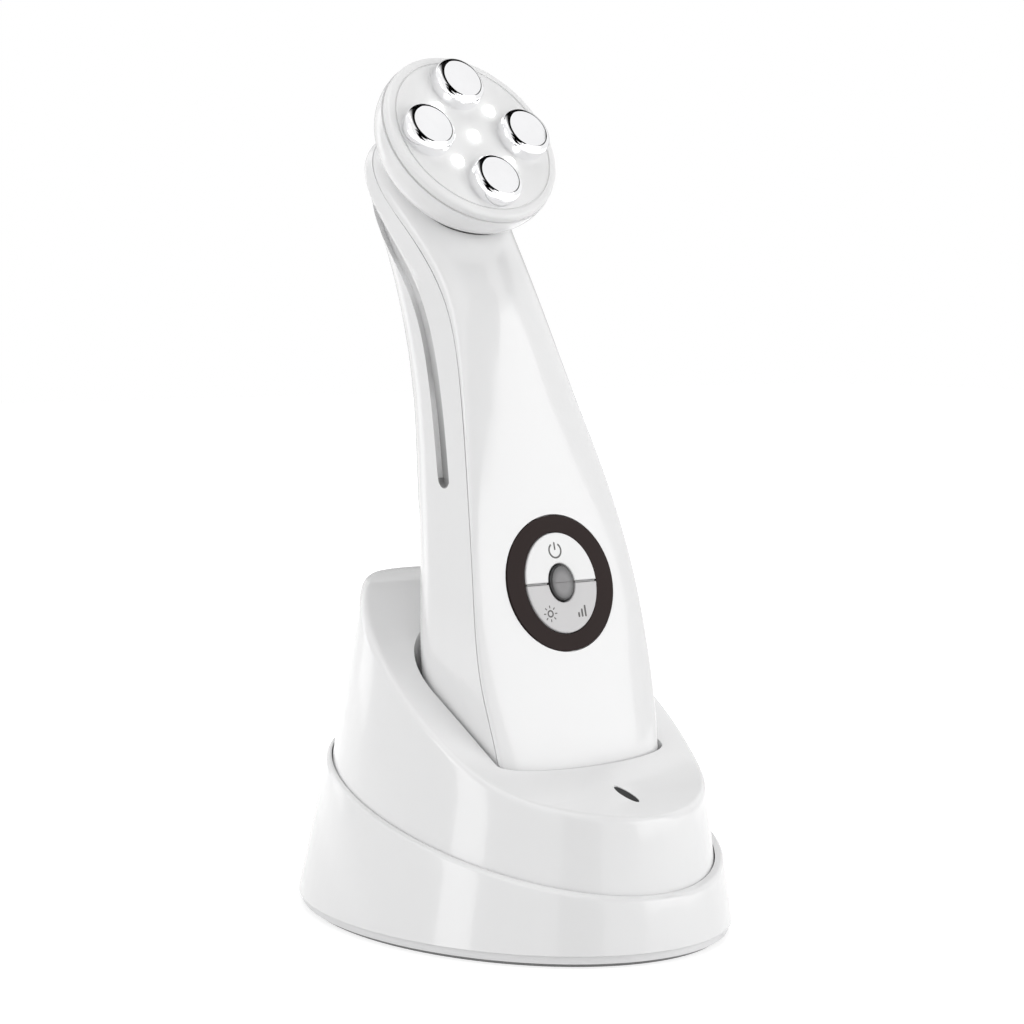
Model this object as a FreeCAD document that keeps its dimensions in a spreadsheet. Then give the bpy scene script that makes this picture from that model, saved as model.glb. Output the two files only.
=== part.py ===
import FreeCAD, Part
import math
import os

import Sketcher

VEC = FreeCAD.Vector
ROT = FreeCAD.Rotation
document = FreeCAD.newDocument("FacialDevice")
sheet = document.addObject("Spreadsheet::Sheet", "Sizes")

# Depths run from the front (negative) to the back.
# A wand station is one level section, and its rise is its height above the station below it,
# or above the table for the first: the seam depth is where front and back shells meet,
# the bulge is how far the front shell stands before it, the side is the flat flank
# behind it and the round is the depth of the half-oval back.
STATIONS = {
    "sole": dict(rise=18.0, half_width=19.0, seam=-22.5, bulge=3.2, side=16.5, round=16.5),
    "foot": dict(rise=3.0, half_width=21.2, seam=-24.5, bulge=3.4, side=18.0, round=19.0),
    "hip": dict(rise=16.0, half_width=23.7, seam=-27.6, bulge=3.3, side=20.0, round=23.5),
    "belly": dict(rise=23.0, half_width=25.6, seam=-22.7, bulge=3.0, side=18.0, round=21.8),
    "grip": dict(rise=23.0, half_width=24.4, seam=-17.7, bulge=2.1, side=15.5, round=20.6),
    "shoulder": dict(rise=22.0, half_width=21.2, seam=-11.3, bulge=3.0, side=14.3, round=20.0),
    "waist": dict(rise=25.0, half_width=16.4, seam=-1.7, bulge=4.5, side=15.0, round=15.8),
    "neck": dict(rise=20.0, half_width=14.0, seam=8.0, bulge=6.5, side=15.5, round=12.5),
    "collar": dict(rise=16.0, half_width=15.4, seam=20.5, bulge=8.0, side=10.0, round=9.5),
    "crown": dict(rise=15.0, half_width=16.8, seam=33.5, bulge=8.0, side=3.5, round=6.5),
    "tip": dict(rise=8.0, half_width=12.0, seam=39.0, bulge=6.0, side=1.0, round=3.5),
}
GROOVE = {
    "grip": dict(offset=8.2, ramp=0.5),
    "shoulder": dict(offset=9.4, ramp=0.7),
    "waist": dict(offset=10.6, ramp=1.5),
    "neck": dict(offset=11.6, ramp=2.0),
    "collar": dict(offset=10.5, ramp=2.0),
    "crown": dict(offset=6.5, ramp=1.6),
    "tip": dict(offset=4.5, ramp=1.2),
}
SIZES = {
    "shell_wall": 2.0,
    "sole_floor": 2.2,
    "seam_gap": 0.3,
    "groove_width": 4.4,
    "groove_depth": 1.4,
    "groove_end_rise": 2.6,
    "groove_end_offset": 9.8,
    "fit_gap": 0.3,
    "head_forward": 18.52,
    "head_above": 9.12,
    "head_elevation": 32.75,
    "lens_inset": 0.3,
    "lens_thickness": 2.2,
    "lens_edge": 0.9,
    "lens_line_inset": 2.0,
    "lens_line_width": 0.5,
    "lens_line_depth": 0.35,
    "lens_skirt": 1.8,
    "seal_thickness": 0.4,
    "bowl_radius": 24.3,
    "bowl_rim": 0.9,
    "bowl_round": 11.0,
    "bowl_wall": 2.0,
    "bowl_neck_radius": 8.0,
    "bowl_neck_length": 8.0,
    "bowl_bore_radius": 5.0,
    "electrode_circle_share": 0.603,
    "electrode_share": 0.2833,
    "electrode_height": 4.0,
    "electrode_edge": 1.7,
    "electrode_post_radius": 3.0,
    "electrode_thread_radius": 1.9,
    "nut_radius": 3.6,
    "nut_thickness": 2.0,
    "led_circle_share": 0.4625,
    "led_radius": 1.5,
    "led_proud": 1.3,
    "led_board_gap": 1.8,
    "led_board_front": 4.2,
    "led_board_thickness": 1.2,
    "panel_drop": 0.2,
    "panel_elevation": 14.0,
    "ring_half_width": 15.75,
    "ring_half_height": 16.35,
    "ring_band_side": 5.0,
    "ring_band_end": 4.0,
    "ring_proud": 0.15,
    "ring_sunk": 1.6,
    "key_gap": 0.25,
    "key_proud": 0.55,
    "key_depth": 2.9,
    "key_flange": 0.8,
    "key_flange_thickness": 0.6,
    "key_split": 0.5,
    "key_edge": 0.35,
    "key_post_radius": 1.4,
    "key_post_spread": 7.0,
    "mode_post_drop": 6.5,
    "power_post_rise": 7.5,
    "window_half_width": 3.5,
    "window_half_height": 4.3,
    "window_proud": 0.9,
    "key_slack": 0.4,
    "seat_half_width": 17.6,
    "seat_half_height": 18.2,
    "seat_depth": 4.6,
    "frame_thickness": 1.4,
    "pivot_depth": 4.0,
    "pivot_radius": 0.7,
    "pivot_boss_radius": 1.5,
    "pivot_low": 12.9,
    "pivot_high": 5.1,
    "running_gap": 0.06,
    "dome_height": 2.4,
    "dome_base_radius": 3.0,
    "dome_top_radius": 1.8,
    "board_depth": 9.0,
    "board_thickness": 1.6,
    "board_width": 30.0,
    "board_low": 38.0,
    "board_high": 30.0,
    "standoff_radius": 2.4,
    "standoff_spread": 12.0,
    "standoff_high": 26.0,
    "standoff_low": 34.0,
    "screw_radius": 0.85,
    "screw_head_radius": 1.7,
    "screw_head_thickness": 1.4,
    "screw_bite": 4.0,
    "coil_width": 14.0,
    "coil_length": 12.0,
    "coil_height": 10.0,
    "cell_radius": 7.1,
    "cell_length": 50.0,
    "holder_wall": 1.5,
    "holder_width": 18.0,
    "harness_radius": 1.6,
    "lead_radius": 0.8,
    "pad_spread": 8.0,
    "pad_line": -6.0,
    "pad_radius": 3.0,
    "pad_thickness": 1.0,
    "pad_recess": 0.35,
    "pad_stem_radius": 1.5,
    "pad_stem_length": 4.5,
    "base_side_margin": 23.6,
    "base_end_margin": 40.25,
    "tread_thickness": 1.0,
    "tread_margin": 3.0,
    "plate_thickness": 2.0,
    "plate_margin": 0.9,
    "ring_draft": 0.189,
    "ring_centre": 0.3,
    "ring_lean": 0.05,
    "step_height": 29.0,
    "step_slope": 0.235,
    "step_edge": 1.2,
    "tower_inset": 2.83,
    "tower_draft": 0.154,
    "tower_centre": 0.32,
    "tower_lean": 0.046,
    "tower_spare": 2.5,
    "tower_wall": 2.2,
    "tower_edge": 2.0,
    "brow_line": 33.97,
    "slope_height": 60.1,
    "slope_rise": 0.63,
    "apron_line": 34.44,
    "apron_rise": 0.27,
    "apron_blend": 70.0,
    "brow_blend": 24.0,
    "socket_gap": 1.0,
    "lift_margin": 0.25,
    "mouth_rise": 20.0,
    "socket_wall": 2.0,
    "socket_floor": 2.4,
    "rest_gap": 0.05,
    "boss_radius": 3.5,
    "boss_top": 22.0,
    "boss_front_side": 14.3,
    "boss_front_end": 31.65,
    "boss_back_side": 10.3,
    "boss_back_end": 45.65,
    "base_screw_radius": 1.3,
    "base_screw_head": 2.6,
    "base_screw_length": 11.0,
    "dock_board_height": 7.4,
    "dock_board_width": 26.0,
    "dock_board_front_end": 11.65,
    "dock_board_back_end": 15.65,
    "dock_post_radius": 3.0,
    "dock_post_spread": 10.0,
    "dock_post_front_end": 26.65,
    "dock_post_back_end": 19.65,
    "sleeve_radius": 2.0,
    "sleeve_bore": 1.4,
    "sleeve_height": 7.2,
    "sleeve_lip": 1.0,
    "pin_radius": 0.9,
    "pin_collar": 1.34,
    "pin_collar_length": 1.5,
    "light_length": 8.4,
    "light_width": 2.6,
    "light_end": 19.15,
    "inlet_width": 9.0,
    "inlet_height": 3.2,
    "inlet_length": 8.6,
    "inlet_setback": 3.05,
    "inlet_wall": 0.4,
    "tongue_width": 6.6,
    "tongue_thickness": 0.7,
    "tongue_length": 6.0,
}


class Size:
    """A length or angle that knows both its value and the sheet formula behind it."""

    def __init__(self, value, text):
        self.value = value
        self.text = text

    def joined(self, other, sign, value):
        """Return the size that a formula with one more term gives."""
        return Size(value, f"({self.text} {sign} {as_size(other).text})")

    def __add__(self, other):
        return self.joined(other, "+", self.value + as_size(other).value)

    def __sub__(self, other):
        return self.joined(other, "-", self.value - as_size(other).value)

    def __mul__(self, other):
        return self.joined(other, "*", self.value * as_size(other).value)

    def __truediv__(self, other):
        return self.joined(other, "/", self.value / as_size(other).value)

    def __neg__(self):
        return Size(-self.value, f"(0 - {self.text})")


def as_size(amount):
    """Return a plain number as a size."""
    return amount if isinstance(amount, Size) else Size(float(amount), f"({amount})")


NIL = Size(0.0, "0")


def fill_sheet():
    """Write every driving size into the sheet under its own name."""
    rows = dict(SIZES)
    for table, ending in ((STATIONS, ""), (GROOVE, "groove_")):
        for station, values in table.items():
            for name, value in values.items():
                rows[f"{station}_{ending}{name}"] = value
    for row, (alias, value) in enumerate(rows.items(), 1):
        sheet.set(f"A{row}", alias)
        sheet.set(f"B{row}", str(value))
        sheet.setAlias(f"B{row}", alias)
    document.recompute()


def size(alias):
    """Return the size that the sheet holds under a name."""
    return Size(float(sheet.get(alias)), f"Sizes.{alias}")


def tilt_frame(depth, height, elevation):
    """Return the placement of a face that looks forward and up by the elevation."""
    turn = ROT(VEC(1, 0, 0), 90.0 - elevation.value)
    return FreeCAD.Placement(VEC(0, depth.value, height.value), turn)


def new_body(label, frame=None):
    """Add a body, in a tilted frame (depth, height, elevation) where one is given."""
    body = document.addObject("PartDesign::Body", label)
    body.Label = label
    if frame:
        depth, height, elevation = frame
        body.Placement = tilt_frame(depth, height, elevation)
        body.setExpression("Placement.Base.y", depth.text)
        body.setExpression("Placement.Base.z", height.text)
        body.setExpression("Placement.Rotation.Angle", f"90 - {elevation.text}")
    return body


def sketch_on(body, role, name, height=None):
    """Add a sketch on one of the body's own origin planes, lifted by a height."""
    sketch = body.newObject("Sketcher::SketchObject", name)
    plane = next(item for item in body.Origin.OriginFeatures if item.Role == role)
    sketch.AttachmentSupport = [(plane, "")]
    sketch.MapMode = "FlatFace"
    if height is not None:
        sketch.AttachmentOffset = FreeCAD.Placement(VEC(0, 0, height.value), ROT())
        sketch.setExpression("AttachmentOffset.Base.z", height.text)
    return sketch


def bind(sketch, name, kind, places, amount):
    """Add a named dimension that follows a size."""
    index = sketch.addConstraint(Sketcher.Constraint(kind, *places, amount.value))
    sketch.renameConstraint(index, name)
    sketch.setExpression(f"Constraints.{name}", amount.text)


def pin_point(sketch, name, item, point, across, along):
    """Hold a point at its two distances from the sketch origin."""
    for ending, kind, amount, axis in (("x", "DistanceX", across, -2), ("y", "DistanceY", along, -1)):
        if amount is NIL:
            sketch.addConstraint(Sketcher.Constraint("PointOnObject", item, point, axis))
        else:
            bind(sketch, f"{name}_{ending}", kind, (-1, 1, item, point), amount)


def circle(sketch, name, radius, across=NIL, along=NIL):
    """Draw a circle at a point."""
    item = sketch.addGeometry(Part.Circle(VEC(across.value, along.value, 0), VEC(0, 0, 1), radius.value))
    pin_point(sketch, name, item, 3, across, along)
    bind(sketch, f"{name}_radius", "Radius", (item,), radius)


def oval_axes(sketch, name, item, across, along):
    """Hold an oval level and give it its two half axes."""
    sketch.exposeInternalGeometry(item)
    lines = [
        i for i, shape in enumerate(sketch.Geometry)
        if i > item and shape.TypeId == "Part::GeomLineSegment"]
    major, minor = lines[-2:]
    wide, tall = (major, minor) if across.value >= along.value else (minor, major)
    sketch.addConstraint(Sketcher.Constraint("Horizontal", wide))
    bind(sketch, f"{name}_across", "Distance", (wide,), across * 2)
    bind(sketch, f"{name}_along", "Distance", (tall,), along * 2)
    return wide


def oval_curve(across, along, centre):
    """Return a level ellipse about a point on the sketch's upright axis."""
    wide = VEC(across.value, centre.value, 0)
    tall = VEC(0, centre.value + along.value, 0)
    middle = VEC(0, centre.value, 0)
    if across.value >= along.value:
        return Part.Ellipse(wide, tall, middle)
    return Part.Ellipse(tall, wide, middle)


def oval(sketch, name, across, along, centre=NIL):
    """Draw a full oval about a point on the sketch's upright axis."""
    item = sketch.addGeometry(oval_curve(across, along, centre))
    oval_axes(sketch, name, item, across, along)
    pin_point(sketch, name, item, 3, NIL, centre)


def half_oval(sketch, name, across, along, centre, forward):
    """Draw the forward or backward half of an oval and return its number."""
    curve = oval_curve(across, along, centre)
    start = 0.0 if across.value >= along.value else -math.pi / 2
    if forward:
        start += math.pi
    item = sketch.addGeometry(Part.ArcOfEllipse(curve, start, start + math.pi))
    wide = oval_axes(sketch, name, item, across, along)
    pin_point(sketch, name, item, 3, NIL, centre)
    for end in (1, 2):
        sketch.addConstraint(Sketcher.Constraint("PointOnObject", item, end, wide))
    return item


def line_between(sketch, first, first_end, second, second_end):
    """Draw a line from an end of one item to an end of another."""
    ends = [sketch.getPoint(first, first_end), sketch.getPoint(second, second_end)]
    item = sketch.addGeometry(Part.LineSegment(*ends))
    sketch.addConstraint(Sketcher.Constraint("Coincident", item, 1, first, first_end))
    sketch.addConstraint(Sketcher.Constraint("Coincident", item, 2, second, second_end))
    return item


def outline(sketch, corners):
    """Draw a closed outline; a corner may carry the radius and side of the arc that leads on from it."""
    count = len(corners)
    items = []
    for index, corner in enumerate(corners):
        here = VEC(corner[0].value, corner[1].value, 0)
        after = corners[(index + 1) % count]
        there = VEC(after[0].value, after[1].value, 0)
        if len(corner) == 2:
            items.append(sketch.addGeometry(Part.LineSegment(here, there)))
            continue
        radius, side = corner[2].value, corner[3]
        chord = there - here
        half = chord.Length / 2
        normal = VEC(-chord.y, chord.x, 0).normalize() * side
        rise = radius - math.sqrt(max(radius ** 2 - half ** 2, 0.0))
        middle = (here + there) * 0.5 + normal * rise
        items.append(sketch.addGeometry(Part.Arc(here, middle, there)))
    starts = []
    for index, item in enumerate(items):
        arc = sketch.Geometry[item].TypeId == "Part::GeomArcOfCircle"
        start = VEC(corners[index][0].value, corners[index][1].value, 0)
        first = 1
        if arc and sketch.getPoint(item, 1).distanceToPoint(start) > 1e-6:
            first = 2
        starts.append((item, first, 3 - first))
    for index, (item, first, last) in enumerate(starts):
        following = starts[(index + 1) % count]
        sketch.addConstraint(Sketcher.Constraint("Coincident", item, last, following[0], following[1]))
    for index, (item, first, last) in enumerate(starts):
        corner = corners[index]
        pin_point(sketch, f"corner_{index}", item, first, corner[0], corner[1])
        if len(corner) > 2:
            bind(sketch, f"arc_{index}", "Radius", (item,), corner[2])


def rectangle(sketch, low, high):
    """Draw an upright rectangle between two corners."""
    outline(sketch, [(low[0], low[1]), (high[0], low[1]), (high[0], high[1]), (low[0], high[1])])


def pad(body, sketch, length, both_ways=False):
    """Add material over a sketch, upward or both ways."""
    feature = body.newObject("PartDesign::Pad", f"{sketch.Name}_pad")
    feature.Profile = sketch
    feature.Length = length.value
    feature.setExpression("Length", length.text)
    feature.Midplane = both_ways
    sketch.Visibility = False
    return feature


def pocket(body, sketch, length, both_ways=False):
    """Remove material under a sketch, downward or both ways."""
    feature = body.newObject("PartDesign::Pocket", f"{sketch.Name}_pocket")
    feature.Profile = sketch
    feature.Length = length.value
    feature.setExpression("Length", length.text)
    feature.Midplane = both_ways
    return feature


def loft(body, sketches):
    """Add a smooth solid through sections."""
    feature = body.newObject("PartDesign::AdditiveLoft", f"{sketches[0].Name}_loft")
    feature.Profile = sketches[0]
    feature.Sections = sketches[1:]
    return feature


def spin(body, sketch):
    """Turn a half section about the body's upright axis."""
    feature = body.newObject("PartDesign::Revolution", f"{sketch.Name}_spin")
    feature.Profile = sketch
    feature.ReferenceAxis = (sketch, ["V_Axis"])
    feature.Angle = 360
    return feature


def round_bar(body, name, radius, low, high, across=NIL, along=NIL):
    """Add an upright cylinder between two heights."""
    sketch = sketch_on(body, "XY_Plane", name, low)
    circle(sketch, "bar", radius, across, along)
    return pad(body, sketch, high - low)


def round_hole(body, name, radius, low, high, across=NIL, along=NIL):
    """Remove an upright cylinder between two heights."""
    sketch = sketch_on(body, "XY_Plane", name, high)
    circle(sketch, "hole", radius, across, along)
    return pocket(body, sketch, high - low)


def oval_bar(body, name, across, along, low, high, centre=NIL):
    """Add an upright oval between two heights."""
    sketch = sketch_on(body, "XY_Plane", name, low)
    oval(sketch, "bar", across, along, centre)
    return pad(body, sketch, high - low)


def oval_hole(body, name, across, along, low, high, centre=NIL):
    """Remove an upright oval between two heights."""
    sketch = sketch_on(body, "XY_Plane", name, high)
    oval(sketch, "hole", across, along, centre)
    return pocket(body, sketch, high - low)


def block_bar(body, name, low, high):
    """Add an upright block between two corners."""
    sketch = sketch_on(body, "XY_Plane", name, low[2])
    rectangle(sketch, low, high)
    return pad(body, sketch, high[2] - low[2])


def block_hole(body, name, low, high):
    """Remove an upright block between two corners."""
    sketch = sketch_on(body, "XY_Plane", name, high[2])
    rectangle(sketch, low, high)
    return pocket(body, sketch, high[2] - low[2])


def soften(body, feature, name, radius, chosen):
    """Round the edges of a feature whose points all pass a test."""
    document.recompute()
    names = []
    for index, edge in enumerate(feature.Shape.Edges, 1):
        spots = edge.discretize(5)
        if all(chosen(spot) for spot in spots):
            names.append(f"Edge{index}")
    rounding = body.newObject("PartDesign::Fillet", name)
    rounding.Base = (feature, names)
    rounding.Radius = radius.value
    rounding.setExpression("Radius", radius.text)
    return rounding


def at_level(height):
    """Return a test for points at one height."""
    return lambda spot: abs(spot.z - height.value) < 0.01


def carve(label, base, tools):
    """Return a base with tools cut from it, under a label."""
    result = base
    for index, tool in enumerate(tools):
        step = document.addObject("Part::Cut", f"{label}_cut_{index}")
        step.Base = result
        step.Tool = tool
        result = step
    result.Label = label
    return result


def join(name, pieces):
    """Return the union of pieces."""
    union = document.addObject("Part::MultiFuse", name)
    union.Shapes = pieces
    return union


def group(label, pieces):
    """Return pieces that stay separate solids under one label."""
    bunch = document.addObject("Part::Compound", label)
    bunch.Links = pieces
    bunch.Label = label
    return bunch


def level_of(station):
    """Return the height of a wand station above the table."""
    names = list(STATIONS)
    level = NIL
    for name in names[:names.index(station) + 1]:
        level = level + size(f"{name}_rise")
    return level


def shape_of(station, height=None):
    """Return the sizes of a wand station's section, at its own height or another."""
    shape = {kind: size(f"{station}_{kind}") for kind in STATIONS[station] if kind != "rise"}
    shape["height"] = level_of(station) if height is None else height
    return shape


def section(body, shape, name, grow=NIL, half=None):
    """Draw one level section of the wand, or only its forward or backward half.

    Args:
        body: the body that the sketch belongs to.
        shape: sizes of the section, by kind.
        name: name of the sketch.
        grow: how far the outline stands outside the wand's surface.
        half: "front", "back" or None for the whole section.
    """
    sketch = sketch_on(body, "XY_Plane", name, shape["height"])
    across = shape["half_width"] + grow
    seam = shape["seam"]
    gap = size("seam_gap") * 0.5
    if half == "front":
        seam = seam - gap
    if half == "back":
        seam = seam + gap
    front = back = None
    if half != "back":
        front = half_oval(sketch, "front", across, shape["bulge"] + grow, seam, True)
    if half != "front":
        rear = shape["seam"] + shape["side"]
        back = half_oval(sketch, "back", across, shape["round"] + grow, rear, False)
    if half is None:
        line_between(sketch, front, 2, back, 1)
        line_between(sketch, back, 2, front, 1)
    elif half == "front":
        line_between(sketch, front, 2, front, 1)
    else:
        back_corners(sketch, back, across, seam)
    return sketch


def back_corners(sketch, back, across, seam):
    """Close a half-oval back with two flanks and a level line at the seam."""
    left = VEC(-across.value, seam.value, 0)
    right = VEC(across.value, seam.value, 0)
    right_flank = sketch.addGeometry(Part.LineSegment(right, sketch.getPoint(back, 1)))
    left_flank = sketch.addGeometry(Part.LineSegment(sketch.getPoint(back, 2), left))
    chord = sketch.addGeometry(Part.LineSegment(left, right))
    sketch.addConstraint(Sketcher.Constraint("Coincident", right_flank, 2, back, 1))
    sketch.addConstraint(Sketcher.Constraint("Coincident", left_flank, 1, back, 2))
    sketch.addConstraint(Sketcher.Constraint("Coincident", left_flank, 2, chord, 1))
    sketch.addConstraint(Sketcher.Constraint("Coincident", chord, 2, right_flank, 1))
    sketch.addConstraint(Sketcher.Constraint("Vertical", right_flank))
    sketch.addConstraint(Sketcher.Constraint("Vertical", left_flank))
    sketch.addConstraint(Sketcher.Constraint("Horizontal", chord))
    bind(sketch, "seam_line", "DistanceY", (-1, 1, chord, 1), seam)


def spot_in(frame, across, along, out, turn=None):
    """Return the placement of a point in a tilted frame, or in the room if there is none."""
    local = FreeCAD.Placement(VEC(across.value, along.value, out.value), turn or ROT())
    return tilt_frame(*frame).multiply(local) if frame else local


def rod(name, radius, length, place):
    """Add a plain cylinder."""
    item = document.addObject("Part::Cylinder", name)
    item.setExpression("Radius", radius.text)
    item.setExpression("Height", length.text)
    item.Placement = place
    item.Label = name
    return item


def slab(name, low, high, frame=None):
    """Add a plain box between two corners."""
    item = document.addObject("Part::Box", name)
    item.setExpression("Length", (high[0] - low[0]).text)
    item.setExpression("Width", (high[1] - low[1]).text)
    item.setExpression("Height", (high[2] - low[2]).text)
    item.Placement = spot_in(frame, *low)
    item.Label = name
    return item


def flexible(label, radius, across, spots):
    """Add a round lead that runs through points in one upright plane, starting straight up."""
    body = new_body(label)
    path = sketch_on(body, "YZ_Plane", f"{label}_path", across)
    curve = Part.BSplineCurve()
    route = [VEC(depth.value, height.value, 0) for depth, height in spots]
    lean = route[-1].sub(route[-2])
    curve.interpolate(route, InitialTangent=VEC(0, 1, 0), FinalTangent=lean)
    path.addGeometry(curve)
    profile = sketch_on(body, "XY_Plane", f"{label}_profile", spots[0][1])
    circle(profile, "lead", radius, across, spots[0][0])
    document.recompute()
    sweep = body.newObject("PartDesign::AdditivePipe", f"{label}_sweep")
    sweep.Profile = profile
    sweep.Spine = (path, ["Edge1"])
    return body


fill_sheet()
WHOLE = list(STATIONS)
HEAD = (
    size("crown_seam") - size("head_forward"),
    level_of("crown") + size("head_above"),
    size("head_elevation"))
PANEL = (
    size("grip_seam") - size("grip_bulge"),
    level_of("grip") - size("panel_drop"),
    size("panel_elevation"))
UPRIGHT = ROT(VEC(1, 0, 0), -90)
SIDEWAYS = ROT(VEC(0, 1, 0), 90)
pieces = []


def keep(item):
    """Note a finished sub-part."""
    pieces.append(item)
    return item


# Head: lens, electrodes, lights and the bowl that carries them, all about the tilted face.
lens_back = size("lens_thickness")
lens_radius = size("bowl_radius") - size("lens_inset")
electrode_circle = lens_radius * size("electrode_circle_share")
electrode_radius = lens_radius * size("electrode_share")
bowl_top = size("lens_thickness") + size("seal_thickness")
bowl_inside = size("bowl_radius") - size("bowl_wall")
bowl_turn = bowl_top + size("bowl_rim")
bowl_back = bowl_turn + size("bowl_round")
bowl_end = bowl_back + size("bowl_neck_length")
bowl_flat = size("bowl_radius") - size("bowl_round")
board_back = size("led_board_front") + size("led_board_thickness")
thread_end = board_back + size("nut_thickness") + 0.6
ring_spots = {
    "right": (electrode_circle, NIL),
    "left": (-electrode_circle, NIL),
    "top": (NIL, electrode_circle),
    "bottom": (NIL, -electrode_circle),
}
led_step = lens_radius * size("led_circle_share") * 0.70711
led_spots = [
    (NIL, NIL),
    (led_step, led_step),
    (-led_step, led_step),
    (-led_step, -led_step),
    (led_step, -led_step),
]


def make_bowl():
    """Turn the hollow bowl with its short neck."""
    body = new_body("head_bowl", HEAD)
    half = sketch_on(body, "XZ_Plane", "bowl_half")
    floor = bowl_back - size("bowl_wall")
    outline(half, [
        (bowl_inside, -bowl_top),
        (size("bowl_radius"), -bowl_top),
        (size("bowl_radius"), -bowl_turn, size("bowl_round"), 1),
        (bowl_flat, -bowl_back),
        (size("bowl_neck_radius"), -bowl_back),
        (size("bowl_neck_radius"), -bowl_end),
        (size("bowl_bore_radius"), -bowl_end),
        (size("bowl_bore_radius"), -floor),
        (bowl_flat, -floor, size("bowl_round") - size("bowl_wall"), -1),
        (bowl_inside, -bowl_turn),
    ])
    spin(body, half)
    return body


def make_bowl_room():
    """Turn the space that the bowl needs in the shells."""
    body = new_body("bowl_room", HEAD)
    half = sketch_on(body, "XZ_Plane", "bowl_room_half")
    gap = size("fit_gap")
    outline(half, [
        (NIL, lens_back * 2),
        (size("bowl_radius") + gap, lens_back * 2),
        (size("bowl_radius") + gap, -bowl_turn, size("bowl_round") + gap, 1),
        (bowl_flat, -(bowl_back + gap)),
        (size("bowl_neck_radius") + gap, -(bowl_back + gap)),
        (size("bowl_neck_radius") + gap, -(bowl_end + gap)),
        (NIL, -(bowl_end + gap)),
    ])
    spin(body, half)
    return body


def make_lens():
    """Build the frosted face with its skirt and the holes for posts and lights."""
    body = new_body("face_lens", HEAD)
    disc = round_bar(body, "lens_disc", lens_radius, -lens_back, NIL)
    soften(body, disc, "lens_rounding", size("lens_edge"), at_level(NIL))
    line = sketch_on(body, "XY_Plane", "lens_line")
    line_radius = lens_radius - size("lens_line_inset")
    circle(line, "outer", line_radius)
    circle(line, "inner", line_radius - size("lens_line_width"))
    pocket(body, line, size("lens_line_depth"))
    skirt = bowl_inside - size("fit_gap")
    skirt_end = lens_back + size("lens_skirt")
    round_bar(body, "lens_skirt_bar", skirt, -skirt_end, -lens_back)
    round_hole(body, "lens_skirt_bore", skirt - 1.2, -skirt_end, -lens_back)
    post_hole = size("electrode_post_radius") + 0.15
    light_hole = size("led_radius") + 0.25
    for name, (across, along) in ring_spots.items():
        round_hole(body, f"lens_post_{name}", post_hole, -lens_back, NIL, across, along)
    for index, (across, along) in enumerate(led_spots):
        round_hole(body, f"lens_light_{index}", light_hole, -lens_back, NIL, across, along)
    return body


def make_electrode(name):
    """Build one chrome electrode with its post and thread."""
    spot = ring_spots[name]
    body = new_body(f"electrode_{name}", HEAD)
    front = size("led_board_front")
    top = size("electrode_height")
    round_bar(body, f"thread_{name}", size("electrode_thread_radius"), -thread_end, -front, *spot)
    round_bar(body, f"post_{name}", size("electrode_post_radius"), -front, NIL, *spot)
    cap = round_bar(body, f"cap_{name}", electrode_radius, NIL, top, *spot)
    soften(body, cap, f"cap_rounding_{name}", size("electrode_edge"), at_level(top))
    return body


def make_nut(name):
    """Build the nut behind one electrode."""
    prism = document.addObject("Part::Prism", f"nut_{name}")
    prism.Polygon = 6
    prism.setExpression("Circumradius", size("nut_radius").text)
    prism.setExpression("Height", size("nut_thickness").text)
    prism.Placement = spot_in(HEAD, *ring_spots[name], -(board_back + size("nut_thickness")))
    bore = size("electrode_thread_radius") + 0.02
    hole = rod(f"nut_bore_{name}", bore, size("nut_thickness"), prism.Placement)
    return carve(f"nut_whole_{name}", prism, [hole])


def make_led(index):
    """Build one face light."""
    body = new_body(f"led_{index}", HEAD)
    top = size("led_proud")
    foot = -size("led_board_front")
    bar = round_bar(body, f"led_bar_{index}", size("led_radius"), foot, top, *led_spots[index])
    soften(body, bar, f"led_dome_{index}", size("led_radius") * 0.8, at_level(top))
    return body


def make_led_board():
    """Build the round board behind the lens."""
    body = new_body("led_board", HEAD)
    low = -board_back
    high = -size("led_board_front")
    round_bar(body, "led_disc", bowl_inside - size("led_board_gap"), low, high)
    hole = size("electrode_thread_radius") + 0.15
    for name, spot in ring_spots.items():
        round_hole(body, f"led_board_post_{name}", hole, low, high, *spot)
    return body


def make_seal():
    """Build the flat ring under the lens."""
    body = new_body("lens_seal", HEAD)
    round_bar(body, "seal_disc", lens_radius - 0.4, -bowl_top, -lens_back)
    round_hole(body, "seal_bore", bowl_inside, -bowl_top, -lens_back)
    return body


keep(make_bowl())
keep(make_lens())
keep(make_seal())
keep(make_led_board())
for spot_name in ring_spots:
    keep(make_electrode(spot_name))
keep(group("electrode_nuts", [make_nut(spot_name) for spot_name in ring_spots]))
keep(group("face_leds", [make_led(index) for index in range(len(led_spots))]))
bowl_room = make_bowl_room()

# Button panel: bezel, two keys, window and their carrier about the panel's flat face.
ring_inside = (
    size("ring_half_width") - size("ring_band_side"),
    size("ring_half_height") - size("ring_band_end"))
key_oval = (ring_inside[0] - size("key_gap"), ring_inside[1] - size("key_gap"))
flange_oval = (key_oval[0] + size("key_flange"), key_oval[1] + size("key_flange"))
window_oval = (size("window_half_width"), size("window_half_height"))
dome_top = size("board_depth") - size("dome_height")
frame_back = size("seat_depth") + size("frame_thickness")
ear_top = size("key_depth") + 0.2
board_rear = size("board_depth") + size("board_thickness")
far = as_size(25)
mode_posts = [
    (size("key_post_spread"), -size("mode_post_drop")),
    (-size("key_post_spread"), -size("mode_post_drop")),
]
power_post = (NIL, size("power_post_rise"))
standoffs = [
    (size("standoff_spread"), size("standoff_high")),
    (-size("standoff_spread"), size("standoff_high")),
    (size("standoff_spread"), -size("standoff_low")),
    (-size("standoff_spread"), -size("standoff_low")),
]


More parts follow.
